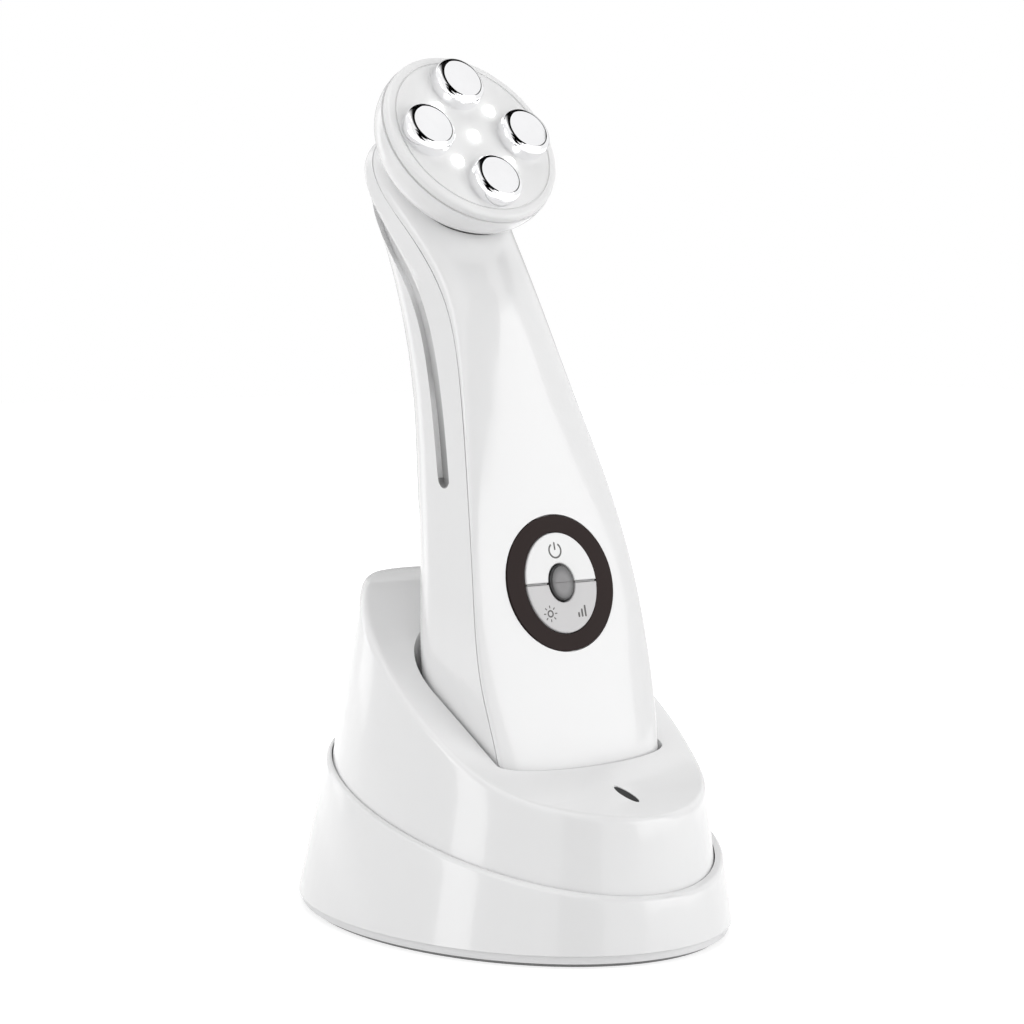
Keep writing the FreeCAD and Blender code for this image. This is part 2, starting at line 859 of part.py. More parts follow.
def make_panel_ring():
    """Build the dark bezel."""
    body = new_body("panel_ring", PANEL)
    low = -size("ring_sunk")
    oval_bar(body, "bezel", size("ring_half_width"), size("ring_half_height"), low, size("ring_proud"))
    oval_hole(body, "bezel_opening", *ring_inside, low, size("ring_proud"))
    return body


def make_key(label, posts, upper):
    """Build one half of the split key with its flange and posts."""
    body = new_body(label, PANEL)
    low = -size("key_depth")
    top = size("key_proud")
    oval_bar(body, f"{label}_cap", *key_oval, low, top)
    oval_bar(body, f"{label}_flange", *flange_oval, low, low + size("key_flange_thickness"))
    half = size("key_split") * 0.5
    if upper:
        block_hole(body, f"{label}_split", (-far, -far, low), (far, half, top))
    else:
        block_hole(body, f"{label}_split", (-far, -half, low), (far, far, top))
    reach = (window_oval[0] + size("key_slack"), window_oval[1] + size("key_slack"))
    cut = oval_hole(body, f"{label}_window", *reach, low, top)
    soften(body, cut, f"{label}_edge", size("key_edge"), at_level(top))
    for index, spot in enumerate(posts):
        round_bar(body, f"{label}_post_{index}", size("key_post_radius"), -dome_top, low, *spot)
    return body


def pivot_rod(name, radius, start, end):
    """Add a cylinder on the rocking axis between two distances below the panel's middle."""
    return rod(name, radius, start - end, spot_in(PANEL, NIL, -start, -size("pivot_depth"), UPRIGHT))


def make_mode_key():
    """Build the rocking key with its pivot boss."""
    key = make_key("mode_key_cap", mode_posts, False)
    low = size("pivot_low")
    high = size("pivot_high")
    boss = pivot_rod("pivot_boss", size("pivot_boss_radius"), low - 1.5, high + 1.1)
    bore = pivot_rod("pivot_bore", size("pivot_radius") + size("running_gap"), low, high)
    return carve("mode_key", join("mode_key_whole", [key, boss]), [bore])


def make_key_frame():
    """Build the carrier plate with the two ears that hold the pivot pin."""
    body = new_body("key_frame_plate", PANEL)
    back = -frame_back
    front = -size("seat_depth")
    plate = (size("seat_half_width") - 0.6, size("seat_half_height") - 0.6)
    oval_bar(body, "frame_plate", *plate, back, front)
    ear = as_size(1.8)
    low = size("pivot_low")
    high = size("pivot_high")
    block_bar(body, "low_ear", (-ear, -low, front), (ear, -(low - 1.2), -ear_top))
    block_bar(body, "high_ear", (-ear, -(high + 0.9), front), (ear, -high, -ear_top))
    slot = size("pivot_boss_radius") + 0.5
    block_hole(body, "boss_slot", (-slot, -(low - 1.2), back), (slot, -(high + 0.9), front))
    for index, spot in enumerate(mode_posts + [power_post]):
        round_hole(body, f"post_way_{index}", size("key_post_radius") + 0.6, back, front, *spot)
    round_hole(body, "light_way", as_size(1.8), back, front)
    pin_seat = pivot_rod("pivot_seat", size("pivot_radius") + 0.02, low + 1, high - 1)
    return carve("key_frame", body, [pin_seat])


def make_window():
    """Build the oval window between the keys."""
    body = new_body("indicator_lens", PANEL)
    foot = size("seat_depth") - 1.0
    oval_bar(body, "window_foot", window_oval[0] + 0.7, window_oval[1] + 0.7, -size("seat_depth"), -foot)
    bar = oval_bar(body, "window_bar", *window_oval, -foot, size("window_proud"))
    soften(body, bar, "window_edge", as_size(0.6), at_level(size("window_proud")))
    return body


def make_dome(name, across, along):
    """Build one silicone dome between a key post and the board."""
    dome = document.addObject("Part::Cone", name)
    dome.setExpression("Radius1", size("dome_base_radius").text)
    dome.setExpression("Radius2", size("dome_top_radius").text)
    dome.setExpression("Height", size("dome_height").text)
    dome.Placement = spot_in(PANEL, across, along, -size("board_depth"))
    dome.Label = name
    return dome


def make_main_board():
    """Build the main circuit board."""
    body = new_body("main_board", PANEL)
    half = size("board_width") * 0.5
    low = (-half, -size("board_low"), -board_rear)
    high = (half, size("board_high"), -size("board_depth"))
    block_bar(body, "board_plate", low, high)
    for index, spot in enumerate(standoffs):
        round_hole(body, f"board_hole_{index}", size("screw_radius") + 0.15, low[2], high[2], *spot)
    return body


def make_screw(name, frame, spot, seat, shank, head, upward):
    """Build a screw from its shank and head (radius, length), with the head outside the seat level."""
    shank_low = seat if upward else seat - shank[1]
    head_low = seat - head[1] if upward else seat
    stem = rod(f"{name}_shank", *shank, spot_in(frame, *spot, shank_low))
    cap = rod(f"{name}_head", *head, spot_in(frame, *spot, head_low))
    return join(name, [stem, cap])


def make_battery_holder():
    """Build the tray that holds the cell behind the board."""
    body = new_body("battery_holder", PANEL)
    half = size("holder_width") * 0.5
    wall = size("holder_wall")
    low = -cell_start
    high = low + size("cell_length")
    floor = -(board_rear + wall)
    rim = floor - size("cell_radius") * 1.6
    block_bar(body, "tray_floor", (-half, low - wall, floor), (half, high + wall, -board_rear))
    block_bar(body, "tray_low_end", (-half, low - wall, rim), (half, low, floor))
    block_bar(body, "tray_high_end", (-half, high, rim), (half, high + wall, floor))
    return body


cell_start = size("standoff_low") + 2.0
cell_line = board_rear + size("holder_wall") + size("cell_radius")
coil_low = size("board_high") - size("coil_length") - 1.0
coil_half = size("coil_width") * 0.5
board_shank = (size("screw_radius"), size("screw_bite") + size("board_thickness"))
board_head = (size("screw_head_radius"), size("screw_head_thickness"))
keep(make_panel_ring())
keep(make_key("power_key", [power_post], True))
keep(make_mode_key())
keep(pivot_rod("mode_key_pin", size("pivot_radius"), size("pivot_low"), size("pivot_high")))
keep(make_key_frame())
keep(make_window())
keep(make_dome("power_dome", *power_post))
keep(group("mode_domes", [make_dome(f"mode_dome_{i}", *spot) for i, spot in enumerate(mode_posts)]))
keep(make_main_board())
led_front = size("board_depth") - 1.4
keep(slab("indicator_led", (as_size(-1.5), as_size(-1.3), -size("board_depth")),
          (as_size(1.5), as_size(1.3), -led_front), PANEL))
keep(group("board_screws", [
    make_screw(f"board_screw_{i}", PANEL, spot, -board_rear, board_shank, board_head, True)
    for i, spot in enumerate(standoffs)]))
keep(make_battery_holder())
keep(rod("battery_cell", size("cell_radius"), size("cell_length"),
         spot_in(PANEL, NIL, -cell_start, -cell_line, UPRIGHT)))
keep(slab("rf_transformer", (-coil_half, coil_low, -(board_rear + size("coil_height"))),
          (coil_half, coil_low + size("coil_length"), -board_rear), PANEL))

# Wand shells: one loft for each half, hollowed by a third through the same stations.
above_crown = slab("above_crown", (as_size(-40), as_size(-60), level_of("crown")),
                   (as_size(40), as_size(90), level_of("crown") + 40))
room_body = new_body("room_body")
room_sections = []
for station in WHOLE[1:]:
    level = level_of("sole") + size("sole_floor") if station == "foot" else None
    room_shape = shape_of(station, level)
    room_sections.append(section(room_body, room_shape, f"room_{station}", -size("shell_wall")))
loft(room_body, room_sections)
wand_room = carve("wand_room", room_body, [above_crown])


def make_shell_solid(half):
    """Loft one half of the wand as a solid."""
    body = new_body(f"{half}_solid")
    loft(body, [section(body, shape_of(station), f"{half}_{station}", NIL, half) for station in WHOLE])
    return body


groove_floor = new_body("groove_floor")
loft(groove_floor, [
    section(groove_floor, shape_of(station), f"floor_{station}", -size("groove_depth"))
    for station in WHOLE[1:]])


def make_groove(side):
    """Loft the groove on one flank, with a sharp back, a ramped front and a round lower end."""
    body = new_body(f"groove_{side}")
    half = size("groove_width") * 0.5
    depth = size("groove_depth")
    sketches = []
    for station in GROOVE:
        sketch = sketch_on(body, "XY_Plane", f"groove_{side}_{station}", level_of(station))
        middle = size(f"{station}_seam") + size(f"{station}_groove_offset")
        ramp = size(f"{station}_groove_ramp")
        inner = size(f"{station}_half_width") - depth * 2
        outer = size(f"{station}_half_width") + depth
        if side == "left":
            inner, outer = -inner, -outer
        outline(sketch, [
            (inner, middle - half + ramp * 2),
            (inner, middle + half),
            (outer, middle + half),
            (outer, middle - half - ramp),
        ])
        sketches.append(sketch)
    loft(body, sketches)
    end_level = level_of("shoulder") + size("groove_end_rise")
    end_depth = size("shoulder_seam") + size("groove_end_offset")
    above = slab(f"groove_above_{side}", (as_size(-40), as_size(-40), end_level),
                 (as_size(40), as_size(80), end_level + 100))
    place = FreeCAD.Placement(VEC(-40, end_depth.value, end_level.value), SIDEWAYS)
    end = rod(f"groove_end_{side}", half, as_size(80), place)
    common = document.addObject("Part::MultiCommon", f"groove_tool_{side}")
    common.Shapes = [body, join(f"groove_reach_{side}", [above, end])]
    return carve(f"groove_cut_{side}", common, [groove_floor])


panel_room = new_body("panel_room", PANEL)
ring_room = (size("ring_half_width") + size("key_gap"), size("ring_half_height") + size("key_gap"))
opening = (flange_oval[0] + size("key_slack"), flange_oval[1] + size("key_slack"))
oval_bar(panel_room, "ring_room", *ring_room, -size("ring_sunk"), as_size(4))
oval_bar(panel_room, "key_room", *opening, -(size("seat_depth") + 1), -size("ring_sunk"))
panel_seat = new_body("panel_seat", PANEL)
seat_front = -(size("shell_wall") * 0.7)
seat_oval = (size("seat_half_width"), size("seat_half_height"))
oval_bar(panel_seat, "seat", *seat_oval, -size("seat_depth"), seat_front)
pillars = []
pilots = []
for index, spot in enumerate(standoffs):
    foot = spot_in(PANEL, *spot, -size("board_depth"))
    reach = size("board_depth") + seat_front
    pillars.append(rod(f"standoff_{index}", size("standoff_radius"), reach, foot))
    pilots.append(rod(f"pilot_{index}", size("screw_radius") + 0.02, size("screw_bite") + 0.5, foot))
front_walls = carve("front_walls", make_shell_solid("front"), [wand_room])
front_full = join("front_full", [front_walls, panel_seat] + pillars)
keep(carve("front_shell", front_full, [panel_room, bowl_room] + pilots))
pad_level = level_of("sole") + size("pad_recess")
stem_low = pad_level + size("pad_thickness")
pad_holes = []
for side, across in (("left", -size("pad_spread")), ("right", size("pad_spread"))):
    spot = (across, size("pad_line"))
    pad_body = new_body(f"charge_pad_{side}")
    round_bar(pad_body, f"pad_disc_{side}", size("pad_radius"), pad_level, stem_low, *spot)
    stem_high = stem_low + size("pad_stem_length")
    round_bar(pad_body, f"pad_stem_{side}", size("pad_stem_radius"), stem_low, stem_high, *spot)
    keep(pad_body)
    hole = new_body(f"pad_hole_{side}")
    disc_room = size("pad_radius") + 0.1
    stem_room = size("pad_stem_radius") + 0.1
    round_bar(hole, f"pad_hole_disc_{side}", disc_room, level_of("sole") - 1, stem_low, *spot)
    round_bar(hole, f"pad_hole_stem_{side}", stem_room, stem_low, stem_high, *spot)
    pad_holes.append(hole)
grooves = [make_groove("right"), make_groove("left")]
keep(carve("back_shell", make_shell_solid("back"), [wand_room, bowl_room] + grooves + pad_holes))
leads = []
for side, across in (("left", -size("pad_spread")), ("right", size("pad_spread"))):
    leads.append(flexible(f"lead_{side}", size("lead_radius"), across, [
        (size("pad_line"), stem_high),
        (size("pad_line") - 3.0, stem_high + 7.15),
        (size("hip_seam") + 9.1, level_of("hip") - 0.5),
        (size("hip_seam") + 5.4, level_of("hip") + 5.0),
        (size("hip_seam") + 6.7, level_of("hip") + 10.0),
    ]))
keep(group("charge_leads", leads))


def in_neck(distance):
    """Return the depth and height of a point on the bowl's axis, behind its face."""
    spot = spot_in(HEAD, NIL, NIL, -distance).Base
    return as_size(spot.y), as_size(spot.z)


keep(flexible("head_harness", size("harness_radius"), NIL, [
    (size("shoulder_seam") + 4.6, level_of("shoulder") + 1.5),
    (size("shoulder_seam") + 5.7, level_of("shoulder") + 6.0),
    (size("waist_seam") + 5.2, level_of("waist") - 6.0),
    (size("neck_seam") + 7.5, level_of("neck") - 4.0),
    (size("collar_seam") + 6.5, level_of("collar") - 2.0),
    (size("crown_seam") - 0.1, level_of("crown") - 10.0),
    (size("crown_seam") + 3.4, level_of("crown") - 7.0),
    in_neck(bowl_end + 1.8),
    in_neck(bowl_end - 4.0),
    in_neck(bowl_back - 6.0),
]))

# Dock: an upper tower with the wand's socket, a lower ring, and the base with the charging parts.
plate_top = size("tread_thickness") + size("plate_thickness")
board_top = size("dock_board_height") + size("board_thickness")
socket_base = level_of("sole") - size("rest_gap")
hip_depth = size("hip_bulge") + size("hip_side") + size("hip_round")
base_half_width = size("hip_half_width") + size("base_side_margin")
base_half_length = hip_depth * 0.5 + size("base_end_margin")
inlet_mouth = base_half_length - size("inlet_setback")
board_back_end = base_half_length - size("dock_board_back_end")
light_line = size("light_end") - base_half_length
brow_height = size("slope_height") + size("slope_rise") * size("brow_line")
tower_top = brow_height + size("tower_spare")
corner_apron = -size("apron_line")
apron_height = size("slope_height") + (size("slope_rise") - size("apron_rise")) * corner_apron
corner_brow = size("brow_line")
reach = as_size(90)
sky = as_size(160)
span = as_size(240)


def tier(kind, level, grow=NIL):
    """Return the half axes and the centre of an oval tier at a level."""
    shrink = size(f"{kind}_draft") * level
    start = size("tower_inset") if kind == "tower" else NIL
    across = base_half_width - start - shrink + grow
    along = base_half_length - start - shrink + grow
    return across, along, size(f"{kind}_centre") - size(f"{kind}_lean") * level


def tier_body(label, kind, low, high, grow=NIL):
    """Loft an oval tier between two levels."""
    body = new_body(label)
    sketches = []
    for end, level in (("low", low), ("high", high)):
        sketch = sketch_on(body, "XY_Plane", f"{label}_{end}", level)
        across, along, centre = tier(kind, level, grow)
        oval(sketch, "tier", across, along, centre)
        sketches.append(sketch)
    loft(body, sketches)
    return body


def top_corners(drop):
    """Return the side outline of all that lies above the tower's top, let down by a drop."""
    apron = apron_height - drop
    return [
        (-reach, apron - size("apron_rise") * reach),
        (corner_apron, apron + size("apron_rise") * corner_apron),
        (corner_brow, brow_height - drop),
        (reach, brow_height - drop),
        (reach, sky),
        (-reach, sky),
    ]


def cut_above(body, name, corners):
    """Remove all above a side outline."""
    sketch = sketch_on(body, "YZ_Plane", name)
    outline(sketch, corners)
    return pocket(body, sketch, span, True)


def on_tier(kind):
    """Return a test for points on a tier's wall, clear of its foot."""
    def test(spot):
        across, along, centre = tier(kind, as_size(spot.z))
        ratio = (spot.x / across.value) ** 2 + ((spot.y - centre.value) / along.value) ** 2
        return abs(ratio - 1) < 2e-3 and spot.z > plate_top.value + 4
    return test


def near_line(depth, height):
    """Return a test for points on a line across the dock."""
    return lambda spot: abs(spot.y - depth.value) < 0.05 and abs(spot.z - height.value) < 0.05


def make_tower_solid():
    """Build the tower's outer form with its swept top and rounded rim."""
    body = tier_body("tower_solid", "tower", plate_top + 0.4, tower_top)
    top = cut_above(body, "tower_sky", top_corners(NIL))
    apron_level = apron_height + size("apron_rise") * corner_apron
    blend = soften(body, top, "apron_fillet", size("apron_blend"), near_line(corner_apron, apron_level))
    brow_edges = near_line(corner_brow, brow_height)
    brow = soften(body, blend, "brow_fillet", size("brow_blend"), brow_edges)
    soften(body, brow, "tower_rim", size("tower_edge"), on_tier("tower"))
    return body


def lift_shape(station, height=None):
    """Return a socket section that also lets the hip below it pass upwards."""
    shape = shape_of(station, height)
    front = size("hip_seam")
    shape["side"] = shape["seam"] + shape["side"] - front
    shape["seam"] = front
    shape["bulge"] = size("hip_bulge")
    for kind in ("half_width", "round"):
        shape[kind] = shape[kind] + size("lift_margin")
    return shape


def make_socket(label, grow, floor):
    """Loft the wand's standing room, wide enough all the way for a straight lift."""
    body = new_body(label)
    shapes = [shape_of("sole", floor), shape_of("foot"), shape_of("hip")]
    shapes += [lift_shape("belly"), lift_shape("grip")]
    shapes += [lift_shape("grip", level_of("grip") + size("mouth_rise"))]
    loft(body, [section(body, shape, f"{label}_{index}", grow) for index, shape in enumerate(shapes)])
    return body


boss_front = (base_half_width - size("boss_front_side"), size("boss_front_end") - base_half_length)
boss_back = (base_half_width - size("boss_back_side"), base_half_length - size("boss_back_end"))
post_front = (size("dock_post_spread"), size("dock_post_front_end") - base_half_length)
post_back = (size("dock_post_spread"), base_half_length - size("dock_post_back_end"))
bosses = [(across * sign, along) for across, along in (boss_front, boss_back) for sign in (1, -1)]
dock_posts = [(across * sign, along) for across, along in (post_front, post_back) for sign in (1, -1)]
pin_spots = {
    "left": (-size("pad_spread"), size("pad_line")),
    "right": (size("pad_spread"), size("pad_line")),
}
tower_drop = size("tower_wall") * 1.2
tower_cavity = tier_body("tower_cavity", "tower", plate_top - 1, tower_top, -size("tower_wall"))
cut_above(tower_cavity, "cavity_sky", top_corners(tower_drop))
cup = make_socket("cup_solid", size("socket_gap") + size("socket_wall"), socket_base - size("socket_floor"))
socket = make_socket("socket_room", size("socket_gap"), socket_base)
boss_low = plate_top + 0.2
boss_rods = []
boss_pilots = []
for index, spot in enumerate(bosses):
    boss_place = spot_in(None, *spot, boss_low)
    boss_rods.append(rod(f"boss_{index}", size("boss_radius"), size("boss_top") - boss_low, boss_place))
    pilot_place = spot_in(None, *spot, boss_low - 0.5)
    pilot_radius = size("base_screw_radius") + 0.02
    boss_pilots.append(rod(f"boss_pilot_{index}", pilot_radius, size("base_screw_length"), pilot_place))
tower_hollow = carve("tower_hollow", tower_cavity, [cup, join("boss_set", boss_rods)])
light_half = size("light_length") * 0.5
slot_gap = 0.15
slot_side = size("light_width") * 0.5 + slot_gap
slot_reach = light_half + slot_gap
light_slot = new_body("light_slot")
oval_bar(light_slot, "slot_oval", slot_side, slot_reach, board_top, sky, light_line)
inlet_half = size("inlet_width") * 0.5
port = slab("inlet_port", (-(inlet_half + 0.5), inlet_mouth - 9, board_top - 0.4),
            (inlet_half + 0.5, inlet_mouth + 9, board_top + size("inlet_height") + 0.4))
pin_ways = []
for side, spot in pin_spots.items():
    way_place = spot_in(None, *spot, socket_base - 5)
    pin_ways.append(rod(f"pin_way_{side}", size("sleeve_radius") + 0.15, as_size(8), way_place))
tower_openings = [socket, join("pin_ways", pin_ways), light_slot, port, join("pilot_set", boss_pilots)]
keep(carve("dock_upper_shell", make_tower_solid(), [tower_hollow] + tower_openings))


def make_lower_ring():
    """Build the lower tier that stands around the tower's foot."""
    body = tier_body("ring_solid", "ring", plate_top, size("step_height") + size("step_slope") * 75)
    low = size("step_height") - size("step_slope") * reach
    high = size("step_height") + size("step_slope") * reach
    step = cut_above(body, "ring_sky", [(-reach, low), (reach, high), (reach, sky), (-reach, sky)])
    soften(body, step, "ring_rim", size("step_edge"), on_tier("ring"))
    room = tier_body("tower_room", "tower", NIL, tower_top, size("fit_gap"))
    return carve("dock_lower_ring", body, [room, port])


def make_base_plate():
    """Build the base plate with its screw seats and board posts."""
    body = new_body("dock_base_plate")
    across, along, centre = tier("ring", plate_top, -size("plate_margin"))
    oval_bar(body, "plate", across, along, size("tread_thickness"), plate_top, centre)
    low = size("tread_thickness")
    for index, spot in enumerate(bosses):
        round_hole(body, f"plate_screw_{index}", size("base_screw_radius") + 0.2, low, plate_top, *spot)
        round_hole(body, f"plate_seat_{index}", size("base_screw_head") + 0.2, low, low + 1.2, *spot)
    for index, spot in enumerate(dock_posts):
        top = size("dock_board_height")
        round_bar(body, f"dock_post_{index}", size("dock_post_radius"), plate_top, top, *spot)
        pilot_end = top - size("screw_bite")
        round_hole(body, f"dock_pilot_{index}", size("screw_radius") + 0.02, pilot_end, top, *spot)
    return body


def make_tread():
    """Build the non-slip sheet under the base plate."""
    body = new_body("base_pad")
    across, along, centre = tier("ring", NIL, -size("tread_margin"))
    oval_bar(body, "tread", across, along, NIL, size("tread_thickness"), centre)
    return body


def make_dock_board():
    """Build the charging board with its narrow tab for the inlet."""
    body = new_body("dock_board")
    half = size("dock_board_width") * 0.5
    low = size("dock_board_height")
    back = board_back_end
    front = size("dock_board_front_end") - base_half_length
    block_bar(body, "dock_board_plate", (-half, front, low), (half, back, board_top))
    tab = inlet_half + 1.5
    block_bar(body, "dock_board_tab", (-tab, back - 1, low), (tab, inlet_mouth - 5.5, board_top))
    for index, spot in enumerate(dock_posts):
        round_hole(body, f"dock_board_hole_{index}", size("screw_radius") + 0.15, low, board_top, *spot)
    return body


def make_sleeve(side):
    """Build the sleeve that guides one contact pin."""
    spot = pin_spots[side]
    foot = spot_in(None, *spot, board_top)
    bore_foot = spot_in(None, *spot, board_top + 1.2)
    barrel = rod(f"sleeve_{side}", size("sleeve_radius"), size("sleeve_height"), foot)
    bore_length = size("sleeve_height") - size("sleeve_lip") - 1.2
    bore = rod(f"sleeve_bore_{side}", size("sleeve_bore"), bore_length, bore_foot)
    way = size("pin_radius") + size("running_gap")
    lip = rod(f"sleeve_way_{side}", way, size("sleeve_height"), bore_foot)
    return carve(f"sleeve_whole_{side}", barrel, [bore, lip])


def make_pin(side):
    """Build one sprung contact pin with its collar."""
    spot = pin_spots[side]
    body = new_body(f"contact_pin_{side}")
    collar_top = board_top + size("sleeve_height") - size("sleeve_lip") - size("rest_gap")
    collar_low = collar_top - size("pin_collar_length")
    tip = pad_level - size("rest_gap")
    round_bar(body, f"pin_collar_{side}", size("pin_collar"), collar_low, collar_top, *spot)
    stem = round_bar(body, f"pin_stem_{side}", size("pin_radius"), collar_top, tip, *spot)
    soften(body, stem, f"pin_tip_{side}", size("pin_radius") * 0.6, at_level(tip))
    return body


def make_inlet():
    """Build the metal shell of the power inlet, open to the back."""
    body = new_body("power_inlet")
    low = board_top
    round_corner = size("inlet_height") * 0.45

    def rounded(name, level, inset):
        sketch = sketch_on(body, "XZ_Plane", name, level)
        side = inlet_half - inset
        base = low + inset
        top = low + size("inlet_height") - inset
        turn = round_corner - inset
        outline(sketch, [
            (-(side - turn), base),
            (side - turn, base, turn, -1),
            (side, base + turn),
            (side, top - turn, turn, -1),
            (side - turn, top),
            (-(side - turn), top, turn, -1),
            (-side, top - turn),
            (-side, base + turn, turn, -1),
        ])
        return sketch

    pad(body, rounded("inlet_shell", -inlet_mouth, NIL), size("inlet_length"))
    depth = size("inlet_length") - 0.8
    inner = rounded("inlet_bore", depth - inlet_mouth, size("inlet_wall"))
    pocket(body, inner, depth)
    return body


keep(make_lower_ring())
keep(make_base_plate())
keep(make_tread())
base_shank = (size("base_screw_radius"), size("base_screw_length") - 1)
base_head = (size("base_screw_head"), as_size(1.2))
keep(group("base_screws", [
    make_screw(f"base_screw_{i}", None, spot, size("tread_thickness") + 1.2, base_shank, base_head, True)
    for i, spot in enumerate(bosses)]))
keep(make_dock_board())
dock_shank = (size("screw_radius"), size("screw_bite") + size("board_thickness") - 0.2)
keep(group("dock_board_screws", [
    make_screw(f"dock_screw_{i}", None, spot, board_top, dock_shank, board_head, False)
    for i, spot in enumerate(dock_posts)]))
keep(group("contact_sleeves", [make_sleeve(side) for side in pin_spots]))
for side in pin_spots:
    keep(make_pin(side))
light_low = board_top + 1.6
light_bar = new_body("light_bar")
oval_bar(light_bar, "light_oval", size("light_width") * 0.5, light_half, light_low, light_low + 60, light_line)
light_sky = new_body("light_sky")
sky_sketch = sketch_on(light_sky, "YZ_Plane", "light_sky_side")
outline(sky_sketch, top_corners(as_size(0.1)))
pad(light_sky, sky_sketch, span, True)
keep(carve("charge_light", light_bar, [light_sky]))
keep(slab("charge_led", (as_size(-1), light_line - 1, board_top),
          (as_size(1), light_line + 1, board_top + 1.2)))
keep(make_inlet())
tongue_half = size("tongue_width") * 0.5
tongue_back = inlet_mouth - size("inlet_length") + 0.8
tongue_low = board_top + (size("inlet_height") - size("tongue_thickness")) * 0.5
keep(slab("inlet_tongue", (-tongue_half, tongue_back, tongue_low),
          (tongue_half, tongue_back + size("tongue_length"), tongue_low + size("tongue_thickness"))))


def check_and_write():
    """Stop on any faulty object, then write one file for each sub-part."""
    document.recompute()
    for item in document.Objects:
        faults = [flag for flag in item.State if flag in ("Invalid", "Error")]
        if faults:
            raise RuntimeError(f"{item.Label} did not build")
    os.makedirs("parts", exist_ok=True)
    for item in pieces:
        shape = item.Shape
        if shape.isNull() or not shape.isValid() or not shape.Solids:
            raise RuntimeError(f"{item.Label} has no sound solid")
        shape.exportStep(f"parts/{item.Label}.step")


check_and_write()
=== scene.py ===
"""Dress the handheld facial device and its charging dock, and light them for a studio picture."""
import logging
import math
from dataclasses import dataclass, field
from enum import Enum

import bpy
from mathutils import Euler, Matrix, Vector


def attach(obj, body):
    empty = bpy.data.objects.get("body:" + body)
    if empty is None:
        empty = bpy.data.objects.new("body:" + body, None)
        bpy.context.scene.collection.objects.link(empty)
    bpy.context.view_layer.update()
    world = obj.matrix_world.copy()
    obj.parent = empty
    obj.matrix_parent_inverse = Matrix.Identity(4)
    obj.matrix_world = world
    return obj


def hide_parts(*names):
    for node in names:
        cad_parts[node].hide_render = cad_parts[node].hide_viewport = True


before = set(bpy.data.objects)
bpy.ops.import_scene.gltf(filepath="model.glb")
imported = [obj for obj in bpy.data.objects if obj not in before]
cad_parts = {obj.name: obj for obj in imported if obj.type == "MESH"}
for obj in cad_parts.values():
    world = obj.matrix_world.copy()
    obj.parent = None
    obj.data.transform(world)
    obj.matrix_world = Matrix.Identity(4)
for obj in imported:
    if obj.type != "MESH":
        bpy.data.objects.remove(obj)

LOG = logging.getLogger("facial_device")
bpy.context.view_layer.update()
MM = 0.001
MERGE_DISTANCE = 2e-6
WHITE = (1.0, 1.0, 1.0, 1.0)
BLACK = (0.0, 0.0, 0.0, 1.0)
Colour = tuple[float, float, float]
Spot = tuple[float, float, float]
Pair = tuple[float, float]
Socket = bpy.types.NodeSocket


class Body(Enum):
    """The bodies that new pieces move with."""

    DOCK = "dock"
    WAND = "wand"
    POWER_KEY = "power_key_body"
    MODE_KEY = "mode_key_body"


